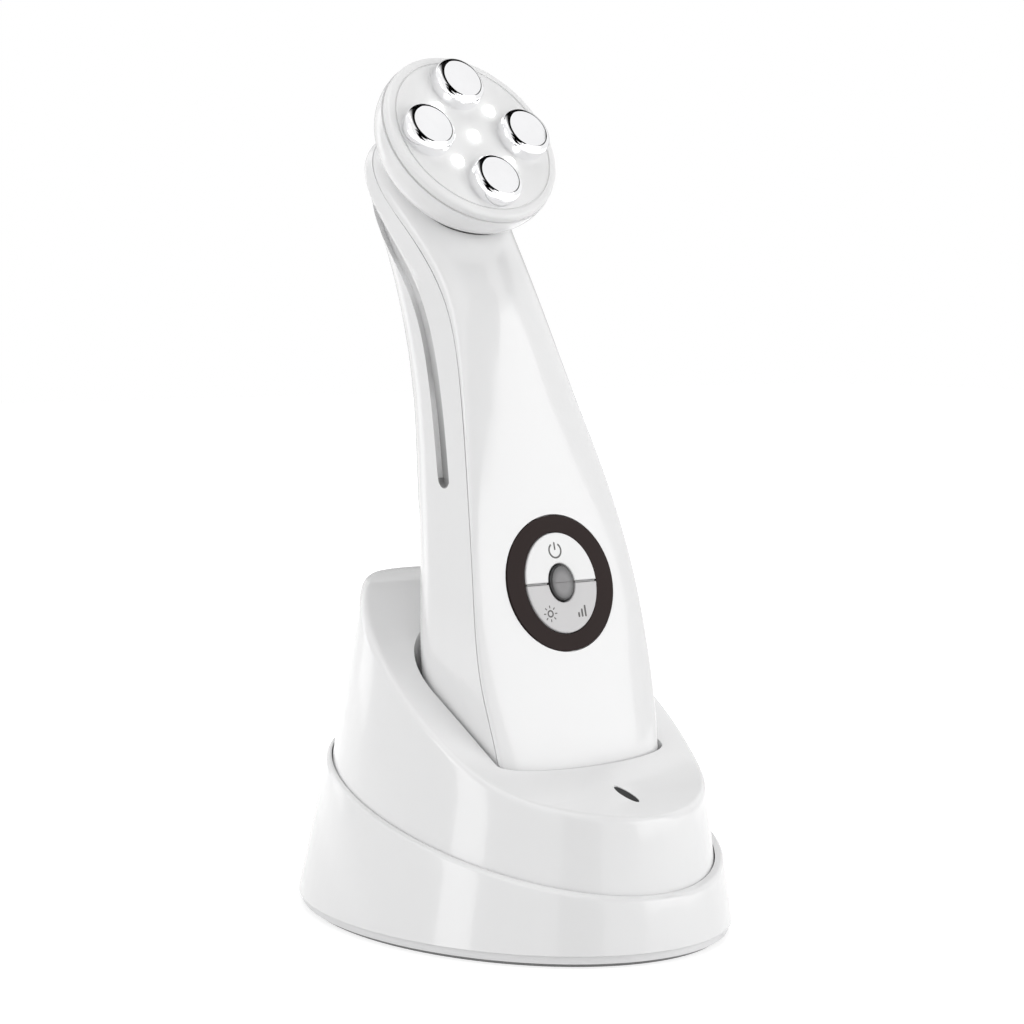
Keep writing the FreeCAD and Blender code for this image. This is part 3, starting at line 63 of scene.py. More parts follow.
class Graph:
    """A material's node graph around one main shader."""

    noise_range: Pair = (0.3, 0.7)
    mix_tones: tuple[int, int] = (6, 7)
    mix_result: int = 2

    def __init__(self, name: str) -> None:
        """Start a graph with a main shader, an output and object coordinates.

        Args:
            name: name of the material.
        """
        self.material = bpy.data.materials.new(name)
        self.material.use_nodes = True
        self.tree = self.material.node_tree
        self.tree.nodes.clear()
        self.output = self.tree.nodes.new("ShaderNodeOutputMaterial")
        self.shader = self.tree.nodes.new("ShaderNodeBsdfPrincipled")
        self.place = self.tree.nodes.new("ShaderNodeTexCoord")
        self.join(self.shader.outputs["BSDF"], self.output.inputs["Surface"])

    def join(self, source: Socket, target: Socket) -> None:
        """Link two sockets."""
        self.tree.links.new(source, target)

    def set(self, **values: object) -> None:
        """Set plain values on the main shader's sockets, with underscores for spaces."""
        for name, value in values.items():
            self.shader.inputs[name.replace("_", " ")].default_value = value

    def noise(self, grain: float, detail: float = 2.0) -> Socket:
        """Add a noise pattern in object space.

        Args:
            grain: size of one grain in metres.
            detail: number of finer layers.

        Returns:
            The pattern's value socket.
        """
        node = self.tree.nodes.new("ShaderNodeTexNoise")
        node.inputs["Scale"].default_value = 1.0 / grain
        node.inputs["Detail"].default_value = detail
        self.join(self.place.outputs["Object"], node.inputs["Vector"])
        return node.outputs["Fac"]

    def spread(self, source: Socket, low: float, high: float) -> Socket:
        """Map a noise pattern onto a range of values.

        Args:
            source: the pattern.
            low: value where the pattern is low.
            high: value where the pattern is high.

        Returns:
            The mapped value's socket.
        """
        return self.remap(source, self.noise_range, (low, high))

    def remap(self, source: Socket, old: Pair, new: Pair, smooth: bool = False) -> Socket:
        """Map one range of values onto another and hold the ends.

        Args:
            source: the value.
            old: the range it comes from.
            new: the range it goes to.
            smooth: whether the change starts and ends gently.

        Returns:
            The mapped value's socket.
        """
        node = self.tree.nodes.new("ShaderNodeMapRange")
        node.interpolation_type = "SMOOTHSTEP" if smooth else "LINEAR"
        for name, value in zip(("From Min", "From Max", "To Min", "To Max"), (*old, *new)):
            node.inputs[name].default_value = value
        self.join(source, node.inputs["Value"])
        return node.outputs["Result"]

    def reckon(self, operation: str, *terms: Socket | float) -> Socket:
        """Calculate with values and plain numbers.

        Args:
            operation: the kind of calculation.
            terms: the values and numbers, in order.

        Returns:
            The result's socket.
        """
        node = self.tree.nodes.new("ShaderNodeMath")
        node.operation = operation
        for socket, term in zip(node.inputs, terms):
            if isinstance(term, float):
                socket.default_value = term
            else:
                self.join(term, socket)
        return node.outputs[0]

    def blend(self, factor: Socket, *tones: Socket | Colour) -> Socket:
        """Blend two colours by a pattern.

        Args:
            factor: the pattern.
            tones: the colour where the pattern is low and the one where it is high.

        Returns:
            The colour socket.
        """
        node = self.tree.nodes.new("ShaderNodeMix")
        node.data_type = "RGBA"
        for index, tone in zip(self.mix_tones, tones):
            socket = node.inputs[index]
            if isinstance(tone, tuple):
                socket.default_value = (*tone, 1.0)
            else:
                self.join(tone, socket)
        self.join(factor, node.inputs[0])
        return node.outputs[self.mix_result]

    def axes(self) -> bpy.types.NodeOutputs:
        """Return the object coordinates, with a socket for each axis."""
        node = self.tree.nodes.new("ShaderNodeSeparateXYZ")
        self.join(self.place.outputs["Object"], node.inputs["Vector"])
        return node.outputs

    def length(self, first: Socket, second: Socket) -> Socket:
        """Return the length of the line that has two given sides.

        Args:
            first: one side of the right angle.
            second: the other side.

        Returns:
            The length's socket.
        """
        square = self.reckon("MULTIPLY", second, second)
        return self.reckon("SQRT", self.reckon("MULTIPLY_ADD", first, first, square))

    def bump(self, height: Socket, strength: float, depth: float) -> None:
        """Roughen the main shader's surface by a pattern.

        Args:
            height: the pattern.
            strength: how strongly it shows.
            depth: height of the relief in metres.
        """
        node = self.tree.nodes.new("ShaderNodeBump")
        node.inputs["Strength"].default_value = strength
        node.inputs["Distance"].default_value = depth
        self.join(height, node.inputs["Height"])
        self.join(node.outputs["Normal"], self.shader.inputs["Normal"])


@dataclass(frozen=True)
class Plastic:
    """A moulded plastic with fine grain, faint mottling and an uneven gloss."""

    name: str
    colour: Colour
    roughness: float
    mottle: float = 0.02
    grain: float = 0.35 * MM
    relief: float = 0.08
    coat: float = 0.0
    shine: float = 0.5
    glow_through: float = 0.0
    cloud_size: float = 30 * MM
    patch_size: float = 9 * MM
    gloss_change: float = 0.03
    relief_depth: float = 0.01 * MM
    coat_roughness: float = 0.06
    refraction: float = 1.49
    glow_depth: float = 2.0 * MM

    def make(self) -> bpy.types.Material:
        """Return the material."""
        graph = Graph(self.name)
        darker = tuple(part * (1.0 - self.mottle) for part in self.colour)
        cloud = graph.spread(graph.noise(self.cloud_size, 1.0), 0.0, 1.0)
        tone = self.tone(graph, graph.blend(cloud, darker, self.colour))
        graph.join(tone, graph.shader.inputs["Base Color"])
        change = self.roughness * self.gloss_change
        patches = graph.noise(self.patch_size, 2.0)
        gloss = graph.spread(patches, self.roughness - change, self.roughness + change)
        graph.join(gloss, graph.shader.inputs["Roughness"])
        graph.bump(graph.noise(self.grain, 3.0), self.relief, self.relief_depth)
        graph.set(Coat_Weight=self.coat, Coat_Roughness=self.coat_roughness, IOR=self.refraction,
                  Specular_IOR_Level=self.shine)
        if self.glow_through:
            graph.set(Subsurface_Weight=self.glow_through, Subsurface_Radius=(1.0, 1.0, 1.0),
                      Subsurface_Scale=self.glow_depth)
        return graph.material

    def tone(self, graph: Graph, plain: Socket) -> Socket:
        """Return the colour that shows, here the plain one."""
        return plain


@dataclass(frozen=True)
class PaintedGrooveShade:
    """Painted shade in the channel along each flank of the wand, darker towards the channel's lower
    end.
    """

    line: tuple[Pair, ...] = ((98.0, -4.4), (105.0, -1.9), (130.0, 8.9),
                              (150.0, 19.6), (166.0, 31.0), (181.0, 40.0))
    half_width: float = 2.2
    end: float = 107.4
    run: float = 50.0
    rim: float = 0.12
    low_fade: float = 0.25
    high_shade: float = 0.35

    def middle(self, graph: Graph, height: Socket) -> Socket:
        """Return the depth of the channel's middle at a height.

        Args:
            graph: the graph to add to.
            height: the height.

        Returns:
            The depth's socket.
        """
        (low, near), (high, far) = self.line[0], self.line[-1]
        node = graph.tree.nodes.new("ShaderNodeFloatCurve")
        curve = node.mapping.curves[0]
        for level, depth in self.line[1:-1]:
            curve.points.new((level - low) / (high - low), (depth - near) / (far - near))
        node.mapping.update()
        graph.join(graph.remap(height, (low * MM, high * MM), (0.0, 1.0)), node.inputs["Value"])
        return graph.remap(node.outputs["Value"], (0.0, 1.0), (near * MM, far * MM))

    def shade(self, graph: Graph) -> Socket:
        """Return how much shade lies in the channel, from 0 to 1.

        Args:
            graph: the graph to add to.

        Returns:
            The shade's socket.
        """
        axes = graph.axes()
        height = axes["Z"]
        back = graph.reckon("SUBTRACT", axes["Y"], self.middle(graph, height))
        below = graph.reckon("MINIMUM", graph.reckon("SUBTRACT", height, self.end * MM), 0.0)
        away = graph.length(below, back)
        half, rim = self.half_width * MM, self.rim * MM
        inside = graph.remap(away, (half + rim, half - rim), (0.0, 1.0), smooth=True)
        stretch = (self.end * MM, (self.end + self.run) * MM)
        rise = graph.remap(height, stretch, (0.0, 1.0), smooth=True)
        front = graph.remap(back, (half, -half), (0.0, 1.0))
        fade = graph.reckon("MULTIPLY", front, graph.remap(rise, (0.0, 1.0), (self.low_fade, 1.0)))
        across = graph.reckon("SUBTRACT", 1.0, fade)
        along = graph.remap(rise, (0.0, 1.0), (1.0, self.high_shade))
        return graph.reckon("MULTIPLY", inside, graph.reckon("MULTIPLY", across, along))


@dataclass(frozen=True)
class PaintedDomeShade:
    """Painted shade on the window, darker towards its rim, that gives the window a domed look."""

    height: float = 82.8
    half_width: float = 3.3
    half_height: float = 4.0
    clear: float = 0.45

    def shade(self, graph: Graph) -> Socket:
        """Return how dark the window's painted shade is, from 0 to 1.

        Args:
            graph: the graph to add to.

        Returns:
            The shade's socket.
        """
        axes = graph.axes()
        across = graph.reckon("DIVIDE", axes["X"], self.half_width * MM)
        up = graph.reckon("SUBTRACT", axes["Z"], self.height * MM)
        along = graph.reckon("DIVIDE", up, self.half_height * MM)
        return graph.remap(graph.length(along, across), (self.clear, 1.0), (0.0, 1.0), smooth=True)


@dataclass(frozen=True)
class PaintedShadePlastic(Plastic):
    """A moulded plastic whose colour is darkened by painted shade where shade would gather on it."""

    painted_shade: PaintedGrooveShade | PaintedDomeShade = PaintedGrooveShade()
    painted_shade_tone: Colour = (0.22, 0.22, 0.22)

    def tone(self, graph: Graph, plain: Socket) -> Socket:
        """Return the plain colour with its painted shade."""
        return graph.blend(self.painted_shade.shade(graph), plain, self.painted_shade_tone)


@dataclass(frozen=True)
class Metal:
    """A bare or plated metal with fine polishing haze."""

    name: str
    colour: Colour
    roughness: float
    haze: float = 0.4
    grain: float = 0.6 * MM
    cloud_size: float = 6 * MM
    dulling: float = 0.96

    def make(self) -> bpy.types.Material:
        """Return the material."""
        graph = Graph(self.name)
        dull = tuple(part * self.dulling for part in self.colour)
        tone = graph.spread(graph.noise(self.cloud_size, 2.0), 0.0, 1.0)
        graph.join(graph.blend(tone, dull, self.colour), graph.shader.inputs["Base Color"])
        low = self.roughness * (1.0 - self.haze)
        high = self.roughness * (1.0 + self.haze)
        gloss = graph.spread(graph.noise(self.grain, 5.0), low, high)
        graph.join(gloss, graph.shader.inputs["Roughness"])
        graph.set(Metallic=1.0)
        return graph.material


@dataclass(frozen=True)
class Lamp:
    """A milky lamp body that glows."""

    name: str
    colour: Colour
    strength: float
    roughness: float = 0.25
    cloud_size: float = 1.2 * MM
    paling: float = 0.94

    def make(self) -> bpy.types.Material:
        """Return the material."""
        graph = Graph(self.name)
        pale = tuple(part * self.paling for part in self.colour)
        cloud = graph.spread(graph.noise(self.cloud_size, 2.0), 0.0, 1.0)
        tint = graph.blend(cloud, pale, self.colour)
        graph.join(tint, graph.shader.inputs["Base Color"])
        graph.join(tint, graph.shader.inputs["Emission Color"])
        graph.set(Roughness=self.roughness, Emission_Strength=self.strength)
        return graph.material


@dataclass(frozen=True)
class Board:
    """A lacquered circuit board with faint tracks."""

    name: str
    colour: Colour
    track: Colour
    roughness: float = 0.35
    coat: float = 0.3
    pitch: float = 3.0 * MM
    track_edge: Pair = (0.03, 0.08)

    def make(self) -> bpy.types.Material:
        """Return the material."""
        graph = Graph(self.name)
        lines = graph.tree.nodes.new("ShaderNodeTexVoronoi")
        lines.feature = "DISTANCE_TO_EDGE"
        lines.distance = "MANHATTAN"
        lines.inputs["Scale"].default_value = 1.0 / self.pitch
        graph.join(graph.place.outputs["Object"], lines.inputs["Vector"])
        edge = graph.remap(lines.outputs["Distance"], self.track_edge, (0.0, 1.0))
        tint = graph.blend(edge, self.track, self.colour)
        graph.join(tint, graph.shader.inputs["Base Color"])
        graph.set(Roughness=self.roughness, Coat_Weight=self.coat)
        return graph.material


Finish = Plastic | Metal | Lamp | Board
SHELL_ANGLE = 40.0
SHELL_LOOK = dict(colour=(0.83, 0.83, 0.832), roughness=0.2, mottle=0.006,
                  relief=0.015, coat=0.5, shine=0.4)
WHITE_SHELL = Plastic("white_gloss", **SHELL_LOOK)
# The back shell's flank channels carry painted shade, darker towards their lower ends.
GROOVE_SHADED_SHELL = PaintedShadePlastic("groove_painted_shade_gloss", **SHELL_LOOK)
FROSTED_LENS = Plastic("frosted_face", (0.84, 0.84, 0.84), 0.42, mottle=0.03, glow_through=0.25)
CHROME = Metal("mirror_chrome", (0.93, 0.93, 0.94), 0.05, haze=0.15)
FACE_LAMP = Lamp("face_lamp", (1.0, 1.0, 0.99), 1.6)
BEZEL_BROWN = Plastic("bezel_brown", (0.026, 0.017, 0.016), 0.5, mottle=0.1, shine=0.1)
KEY_WHITE = Plastic("key_white", (0.86, 0.86, 0.86), 0.36, relief=0.1)
KEY_GREY = Plastic("key_grey", (0.6, 0.592, 0.596), 0.36, relief=0.1)
# The window carries painted shade, darker towards its rim.
WINDOW_SMOKE = PaintedShadePlastic("window_smoke", (0.19, 0.186, 0.19), 0.2, mottle=0.1, coat=0.2,
                             painted_shade=PaintedDomeShade(), painted_shade_tone=(0.035, 0.034, 0.035))
STEEL = Metal("plain_steel", (0.60, 0.60, 0.61), 0.3)
INNER_GREY = Plastic("inner_grey", (0.4, 0.4, 0.41), 0.55, relief=0.3)
BOARD_GREEN = Board("board_lacquer", (0.03, 0.17, 0.08), (0.05, 0.26, 0.12))
CELL_WRAP = Plastic("cell_wrap", (0.09, 0.2, 0.42), 0.32, mottle=0.08)
COIL_VARNISH = Plastic("coil_varnish", (0.06, 0.055, 0.05), 0.3, mottle=0.2)
CONTACT_GOLD = Metal("contact_gold", (0.86, 0.65, 0.3), 0.2)
SEAL_PALE = Plastic("seal_pale", (0.8, 0.8, 0.79), 0.7, relief=0.4)
FOOT_RUBBER = Plastic("foot_rubber", (0.36, 0.36, 0.36), 0.85, relief=0.6, mottle=0.15)
BASE_WHITE = Plastic("base_white", (0.8, 0.8, 0.805), 0.5, relief=0.5)
LIGHT_SMOKE = Plastic("light_smoke", (0.008, 0.008, 0.009), 0.3, mottle=0.1, shine=0.15)
CHARGE_LAMP = Lamp("charge_lamp", (1.0, 0.85, 0.6), 0.2)
TONGUE_BLACK = Plastic("tongue_black", (0.02, 0.02, 0.02), 0.5)
LEAD_GREY = Plastic("lead_grey", (0.22, 0.22, 0.24), 0.6, relief=0.3)
LEGEND_GREY = Plastic("legend_ink", (0.10, 0.095, 0.095), 0.5)
RIB_GREY = Plastic("rib_grey", (0.36, 0.36, 0.36), 0.5)


class Finishes:
    """Makes each material once and hands it out again."""

    def __init__(self) -> None:
        """Start with no materials."""
        self.made: dict[str, bpy.types.Material] = {}

    def of(self, finish: Finish) -> bpy.types.Material:
        """Return the material of a finish."""
        if finish.name not in self.made:
            self.made[finish.name] = finish.make()
        return self.made[finish.name]


FINISHES = Finishes()


def drop_selection() -> None:
    """Leave edit mode and deselect everything."""
    if bpy.context.object and bpy.context.object.mode != "OBJECT":
        bpy.ops.object.mode_set(mode="OBJECT")
    bpy.ops.object.select_all(action="DESELECT")


def pick(piece: bpy.types.Object) -> None:
    """Make one piece the only selected and the active one."""
    drop_selection()
    piece.select_set(True)
    bpy.context.view_layer.objects.active = piece


def paint(piece: bpy.types.Object, finish: Finish) -> None:
    """Give a piece one material."""
    piece.data.materials.clear()
    piece.data.materials.append(FINISHES.of(finish))


def hand_over(piece: bpy.types.Object, body: Body) -> bpy.types.Object:
    """Let a new piece ride on its body.

    Args:
        piece: the finished piece.
        body: the body it moves with.

    Returns:
        The same piece.
    """
    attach(piece, body.value)
    LOG.info("%s rides on %s", piece.name, body.value)
    return piece


@dataclass(frozen=True)
class TiltedFace:
    """A tilted flat face that small pieces are placed on."""

    depth: float
    height: float
    elevation: float

    def place(self, across: float, along: float, out: float) -> Matrix:
        """Return the matrix of a point on the face.

        Args:
            across: distance to the right of the middle, in millimetres.
            along: distance up the face, in millimetres.
            out: distance in front of the face, in millimetres.

        Returns:
            The matrix in metres.
        """
        turn = Euler((math.radians(90.0 - self.elevation), 0.0, 0.0)).to_matrix().to_4x4()
        origin = Matrix.Translation(Vector((0.0, self.depth, self.height)) * MM)
        return origin @ turn @ Matrix.Translation(Vector((across, along, out)) * MM)


PANEL = TiltedFace(depth=-19.8, height=82.8, elevation=14.0)


@dataclass
class Skin:
    """A smooth-shaded copy of a moulded solid that stands for it."""

    node: str
    body: Body
    slot: str
    finish: Finish
    smooth_angle: float = 30.0

    def build(self) -> bpy.types.Object:
        """Copy the solid's mesh, merge its triangles and smooth its curved faces.

        Returns:
            The new piece.
        """
        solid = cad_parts[self.node]
        piece = bpy.data.objects.new(f"{self.node}_skin", solid.data.copy())
        bpy.context.scene.collection.objects.link(piece)
        pick(piece)
        bpy.ops.object.mode_set(mode="EDIT")
        bpy.ops.mesh.select_all(action="SELECT")
        bpy.ops.mesh.remove_doubles(threshold=MERGE_DISTANCE)
        bpy.ops.object.mode_set(mode="OBJECT")
        if piece.data.has_custom_normals:
            bpy.ops.mesh.customdata_custom_splitnormals_clear()
        bpy.ops.object.shade_smooth_by_angle(angle=math.radians(self.smooth_angle))
        return piece

    def dress(self, piece: bpy.types.Object) -> None:
        """Paint the copy and let it stand for the solid.

        Args:
            piece: the copy.
        """
        paint(piece, self.finish)
        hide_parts(self.node)
        hand_over(piece, self.body)


@dataclass
class Legends:
    """The printed symbols on the keys and the line on the window."""

    key_face: float = 0.55
    window_face: float = 0.9
    print_height: float = 0.03
    power_across: float = -0.7
    power_along: float = 7.8
    power_radius: float = 1.75
    power_gap: float = 70.0
    power_bar_middle: float = 0.6
    power_bar_length: float = 1.1
    stroke: float = 0.42
    lamp_across: float = -4.8
    level_across: float = 4.7
    mode_along: float = -7.2
    lamp_reach: float = 1.65
    lamp_core: float = 0.44
    lamp_stroke: float = 0.36
    ray_count: int = 8
    ray_width: float = 0.28
    ray_length: float = 0.7
    level_count: int = 3
    level_first: float = 1.2
    level_rise: float = 0.8
    level_pitch: float = 1.0
    level_width: float = 0.5
    level_drop: float = 1.4
    line_length: float = 5.6
    line_width: float = 0.14
    corner_share: float = 0.48
    corner_steps: int = 5
    ring_steps: int = 72

    def bar(self, across: float, along: float, width: float, length: float,
            turn: float = 0.0) -> bpy.types.Object:
        """Model one rounded stroke, flat at the origin.

        Args:
            across: distance to the right, in millimetres.
            along: distance up, in millimetres.
            width: width of the stroke, in millimetres.
            length: length of the stroke, in millimetres.
            turn: turn of the stroke in degrees.

        Returns:
            The stroke.
        """
        drop_selection()
        bpy.ops.mesh.primitive_plane_add(size=1.0)
        stroke = bpy.context.object
        stroke.scale = (width * MM, length * MM, 1.0)
        stroke.rotation_euler = (0.0, 0.0, math.radians(turn))
        stroke.location = (across * MM, along * MM, 0.0)
        bpy.ops.object.transform_apply(location=True, rotation=True, scale=True)
        bpy.ops.object.mode_set(mode="EDIT")
        bpy.ops.mesh.select_all(action="SELECT")
        corner = width * self.corner_share * MM
        bpy.ops.mesh.bevel(offset=corner, segments=self.corner_steps, affect="VERTICES")
        self.thicken()
        return stroke

    def ring(self, radius: float, stroke: float, gap: float) -> bpy.types.Object:
        """Model a ring that is open at its top, flat at the origin.

        Args:
            radius: radius of the stroke's middle, in millimetres.
            stroke: width of the stroke, in millimetres.
            gap: angle of the opening in degrees; 0 leaves the ring closed.

        Returns:
            The ring.
        """
        drop_selection()
        inner = (radius - stroke * 0.5) * MM
        outer = (radius + stroke * 0.5) * MM
        bpy.ops.mesh.primitive_circle_add(vertices=self.ring_steps, radius=inner, fill_type="NOTHING")
        mark = bpy.context.object
        bpy.ops.object.mode_set(mode="EDIT")
        bpy.ops.mesh.select_all(action="SELECT")
        bpy.ops.mesh.extrude_edges_move()
        bpy.ops.transform.resize(value=(outer / inner, outer / inner, 1.0))
        bpy.ops.mesh.select_all(action="DESELECT")
        bpy.ops.object.mode_set(mode="OBJECT")
        for face in mark.data.polygons:
            off_top = abs(math.degrees(math.atan2(face.center.x, face.center.y)))
            face.select = off_top < gap * 0.5
        bpy.ops.object.mode_set(mode="EDIT")
        bpy.ops.mesh.select_mode(type="FACE")
        if gap:
            bpy.ops.mesh.delete(type="FACE")
        bpy.ops.mesh.select_all(action="SELECT")
        self.thicken()
        return mark

    def thicken(self) -> None:
        """Give the selected flat faces the height of a print and leave edit mode."""
        bpy.ops.mesh.normals_make_consistent(inside=False)
        rise = (0.0, 0.0, self.print_height * MM)
        bpy.ops.mesh.extrude_region_move(TRANSFORM_OT_translate={"value": rise})
        bpy.ops.mesh.select_all(action="SELECT")
        bpy.ops.mesh.normals_make_consistent(inside=False)
        bpy.ops.object.mode_set(mode="OBJECT")

    def finish(self, parts: list[bpy.types.Object], name: str, place: Matrix, body: Body) -> None:
        """Join the strokes of a symbol and print it on its key.

        Args:
            parts: the strokes.
            name: name of the symbol.
            place: where the symbol's middle lies.
            body: the body it moves with.
        """
        drop_selection()
        for part in parts:
            part.select_set(True)
        bpy.context.view_layer.objects.active = parts[0]
        if len(parts) > 1:
            bpy.ops.object.join()
        symbol = bpy.context.object
        symbol.name = name
        symbol.matrix_world = place
        bpy.ops.object.transform_apply(location=True, rotation=True, scale=True)
        paint(symbol, LEGEND_GREY)
        hand_over(symbol, body)

    def build(self) -> None:
        """Model all symbols."""
        middle = self.power_radius * self.power_bar_middle
        length = self.power_radius * self.power_bar_length
        power = [self.ring(self.power_radius, self.stroke, self.power_gap),
                 self.bar(0.0, middle, self.stroke, length)]
        place = PANEL.place(self.power_across, self.power_along, self.key_face)
        self.finish(power, "power_symbol", place, Body.POWER_KEY)
        lamp = [self.ring(self.lamp_reach * self.lamp_core, self.lamp_stroke, 0.0)]
        for index in range(self.ray_count):
            turn = 360.0 / self.ray_count * index
            across = self.lamp_reach * math.sin(math.radians(turn))
            along = self.lamp_reach * math.cos(math.radians(turn))
            lamp.append(self.bar(across, along, self.ray_width, self.ray_length, -turn))
        place = PANEL.place(self.lamp_across, self.mode_along, self.key_face)
        self.finish(lamp, "lamp_symbol", place, Body.MODE_KEY)
        level = []
        for index in range(self.level_count):
            tall = self.level_first + self.level_rise * index
            across = self.level_pitch * (index - (self.level_count - 1) / 2)
            level.append(self.bar(across, tall * 0.5 - self.level_drop, self.level_width, tall))
        place = PANEL.place(self.level_across, self.mode_along, self.key_face)
        self.finish(level, "level_symbol", place, Body.MODE_KEY)
        line = [self.bar(0.0, 0.0, self.line_width, self.line_length, 90.0)]
        self.finish(line, "window_line", PANEL.place(0.0, 0.0, self.window_face), Body.WAND)


@dataclass
class Rib:
    """One half of the pale rib that stands between the two keys."""

    name: str
    middle: float
    length: float = 6.0
    width: float = 0.34
    low: float = -4.6
    high: float = 0.18
    edge: float = 0.08

    def build(self) -> None:
        """Model the rib with rounded edges and stand it on the key frame."""
        drop_selection()
        bpy.ops.mesh.primitive_cube_add(size=1.0)
        rib = bpy.context.object
        rib.name = self.name
        rib.scale = (self.length * MM, self.width * MM, (self.high - self.low) * MM)
        bpy.ops.object.transform_apply(location=False, rotation=False, scale=True)
        bpy.ops.object.mode_set(mode="EDIT")
        bpy.ops.mesh.select_all(action="SELECT")
        bpy.ops.mesh.bevel(offset=self.edge * MM, segments=2, affect="EDGES")
        bpy.ops.object.mode_set(mode="OBJECT")
        rib.matrix_world = PANEL.place(self.middle, 0.0, (self.high + self.low) * 0.5)
        bpy.ops.object.transform_apply(location=True, rotation=True, scale=True)
        paint(rib, RIB_GREY)
        hand_over(rib, Body.WAND)


@dataclass
class Wand:
    """The handheld wand: shells, head and key panel."""

    skins: list[Skin] = field(default_factory=lambda: [
        Skin("front_shell", Body.WAND, "white_shell", WHITE_SHELL, SHELL_ANGLE),
        # The back shell carries painted shade in its flank channels.
        Skin("back_shell", Body.WAND, "white_shell", GROOVE_SHADED_SHELL, SHELL_ANGLE),
        Skin("head_bowl", Body.WAND, "white_shell", WHITE_SHELL),
        Skin("face_lens", Body.WAND, "frosted_lens", FROSTED_LENS),
        Skin("electrode_right", Body.WAND, "chrome_face", CHROME),
        Skin("electrode_left", Body.WAND, "chrome_face", CHROME),
        Skin("electrode_top", Body.WAND, "chrome_face", CHROME),
        Skin("electrode_bottom", Body.WAND, "chrome_face", CHROME),
        Skin("face_leds", Body.WAND, "led_white", FACE_LAMP),
        Skin("panel_ring", Body.WAND, "ring_brown", BEZEL_BROWN),
        Skin("power_key", Body.POWER_KEY, "key_white", KEY_WHITE),
        Skin("mode_key", Body.MODE_KEY, "key_grey", KEY_GREY),
        Skin("indicator_lens", Body.WAND, "window_grey", WINDOW_SMOKE),
    ])
    plain: dict[str, Finish] = field(default_factory=lambda: {
        "lens_seal": SEAL_PALE,
        "led_board": BOARD_GREEN,
        "electrode_nuts": STEEL,
        "mode_key_pin": STEEL,
        "key_frame": INNER_GREY,
        "power_dome": STEEL,
        "mode_domes": STEEL,
        "main_board": BOARD_GREEN,
        "indicator_led": FACE_LAMP,
        "board_screws": STEEL,
        "battery_holder": INNER_GREY,
        "battery_cell": CELL_WRAP,
        "rf_transformer": COIL_VARNISH,
        "charge_pad_left": CONTACT_GOLD,
        "charge_pad_right": CONTACT_GOLD,
        "charge_leads": LEAD_GREY,
        "head_harness": LEAD_GREY,
    })
    legends: Legends = field(default_factory=Legends)
    ribs: list[Rib] = field(default_factory=lambda: [
        Rib("rib_left", -7.2),
        Rib("rib_right", 7.2),
    ])

    def build(self) -> None:
        """Model the wand's pieces."""
        for skin in self.skins:
            skin.dress(skin.build())
        self.legends.build()
        for rib in self.ribs:
            rib.build()

    def dress(self) -> None:
        """Paint the solids that show as they are."""
        paint_solids(self.plain)


@dataclass
class Dock:
    """The charging dock: tower, lower tier, base and contacts."""

    skins: list[Skin] = field(default_factory=lambda: [
        Skin("dock_upper_shell", Body.DOCK, "white_shell", WHITE_SHELL, SHELL_ANGLE),
        Skin("dock_lower_ring", Body.DOCK, "white_shell", WHITE_SHELL, SHELL_ANGLE),
        Skin("charge_light", Body.DOCK, "light_smoke", LIGHT_SMOKE),
    ])
    plain: dict[str, Finish] = field(default_factory=lambda: {
        "dock_base_plate": BASE_WHITE,
        "base_pad": FOOT_RUBBER,
        "base_screws": STEEL,
        "dock_board": BOARD_GREEN,
        "dock_board_screws": STEEL,
        "contact_sleeves": CONTACT_GOLD,
        "contact_pin_left": CONTACT_GOLD,
        "contact_pin_right": CONTACT_GOLD,
        "charge_led": CHARGE_LAMP,
        "power_inlet": STEEL,
        "inlet_tongue": TONGUE_BLACK,
    })

    def build(self) -> None:
        """Model the dock's pieces."""
        for skin in self.skins:
            skin.dress(skin.build())

    def dress(self) -> None:
        """Paint the solids that show as they are."""
        paint_solids(self.plain)


def paint_solids(finishes: dict[str, Finish]) -> None:
    """Paint solids that need no new shape.

    Args:
        finishes: finish of each solid, by name.
    """
    for name, finish in finishes.items():
        paint(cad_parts[name], finish)
        LOG.info("%s is painted %s", name, finish.name)


@dataclass(frozen=True)
class Softbox:
    """One area light."""

    name: str
    spot: Spot
    aim: Spot
    width: float
    height: float
    power: float
    mirrored: bool = True

    def build(self) -> None:
        """Add the light."""
        data = bpy.data.lights.new(self.name, "AREA")
        data.shape = "RECTANGLE"
        data.size = self.width
        data.size_y = self.height
        data.energy = self.power
        light = bpy.data.objects.new(self.name, data)
        bpy.context.scene.collection.objects.link(light)
        light.location = self.spot
        toward = Vector(self.aim) - Vector(self.spot)
        light.rotation_euler = toward.to_track_quat("-Z", "Y").to_euler()
        light.visible_camera = False
        light.visible_glossy = self.mirrored


@dataclass(frozen=True)
class Card:
    """A card that only mirrors see: black, or glowing by its tone, or faded to white on its left."""

    name: str
    spot: Spot
    width: float
    depth: float
    tilt: float = 0.0
    turn: float = 0.0
    fade: float = 0.0
    tone: float = 0.0
    left_edge: float = -0.5

    def cover(self) -> bpy.types.Material:
        """Return a black that glows by the card's tone, or that rises to white over its fade."""
        graph = Graph(self.name)
        graph.set(Base_Color=BLACK, Roughness=1.0, Specular_IOR_Level=0.0)
        graph.set(Emission_Color=WHITE, Emission_Strength=self.tone)
        if self.fade:
            stretch = (self.fade + self.left_edge, self.left_edge)
            rise = graph.remap(graph.axes()["X"], stretch, (0.0, 1.0), smooth=True)
            graph.join(rise, graph.shader.inputs["Emission Strength"])
        return graph.material

    def build(self) -> None:
        """Hang the card up and hide it from everything but reflections."""
        drop_selection()
        bpy.ops.mesh.primitive_plane_add(size=1.0)
        card = bpy.context.object
        card.name = self.name
        card.scale = (self.width, self.depth, 1.0)
        card.location = self.spot
        card.rotation_euler = (math.radians(self.tilt), 0.0, math.radians(self.turn))
        card.data.materials.append(self.cover())
        for rays in ("camera", "diffuse", "transmission", "volume_scatter", "shadow"):
            setattr(card, f"visible_{rays}", False)


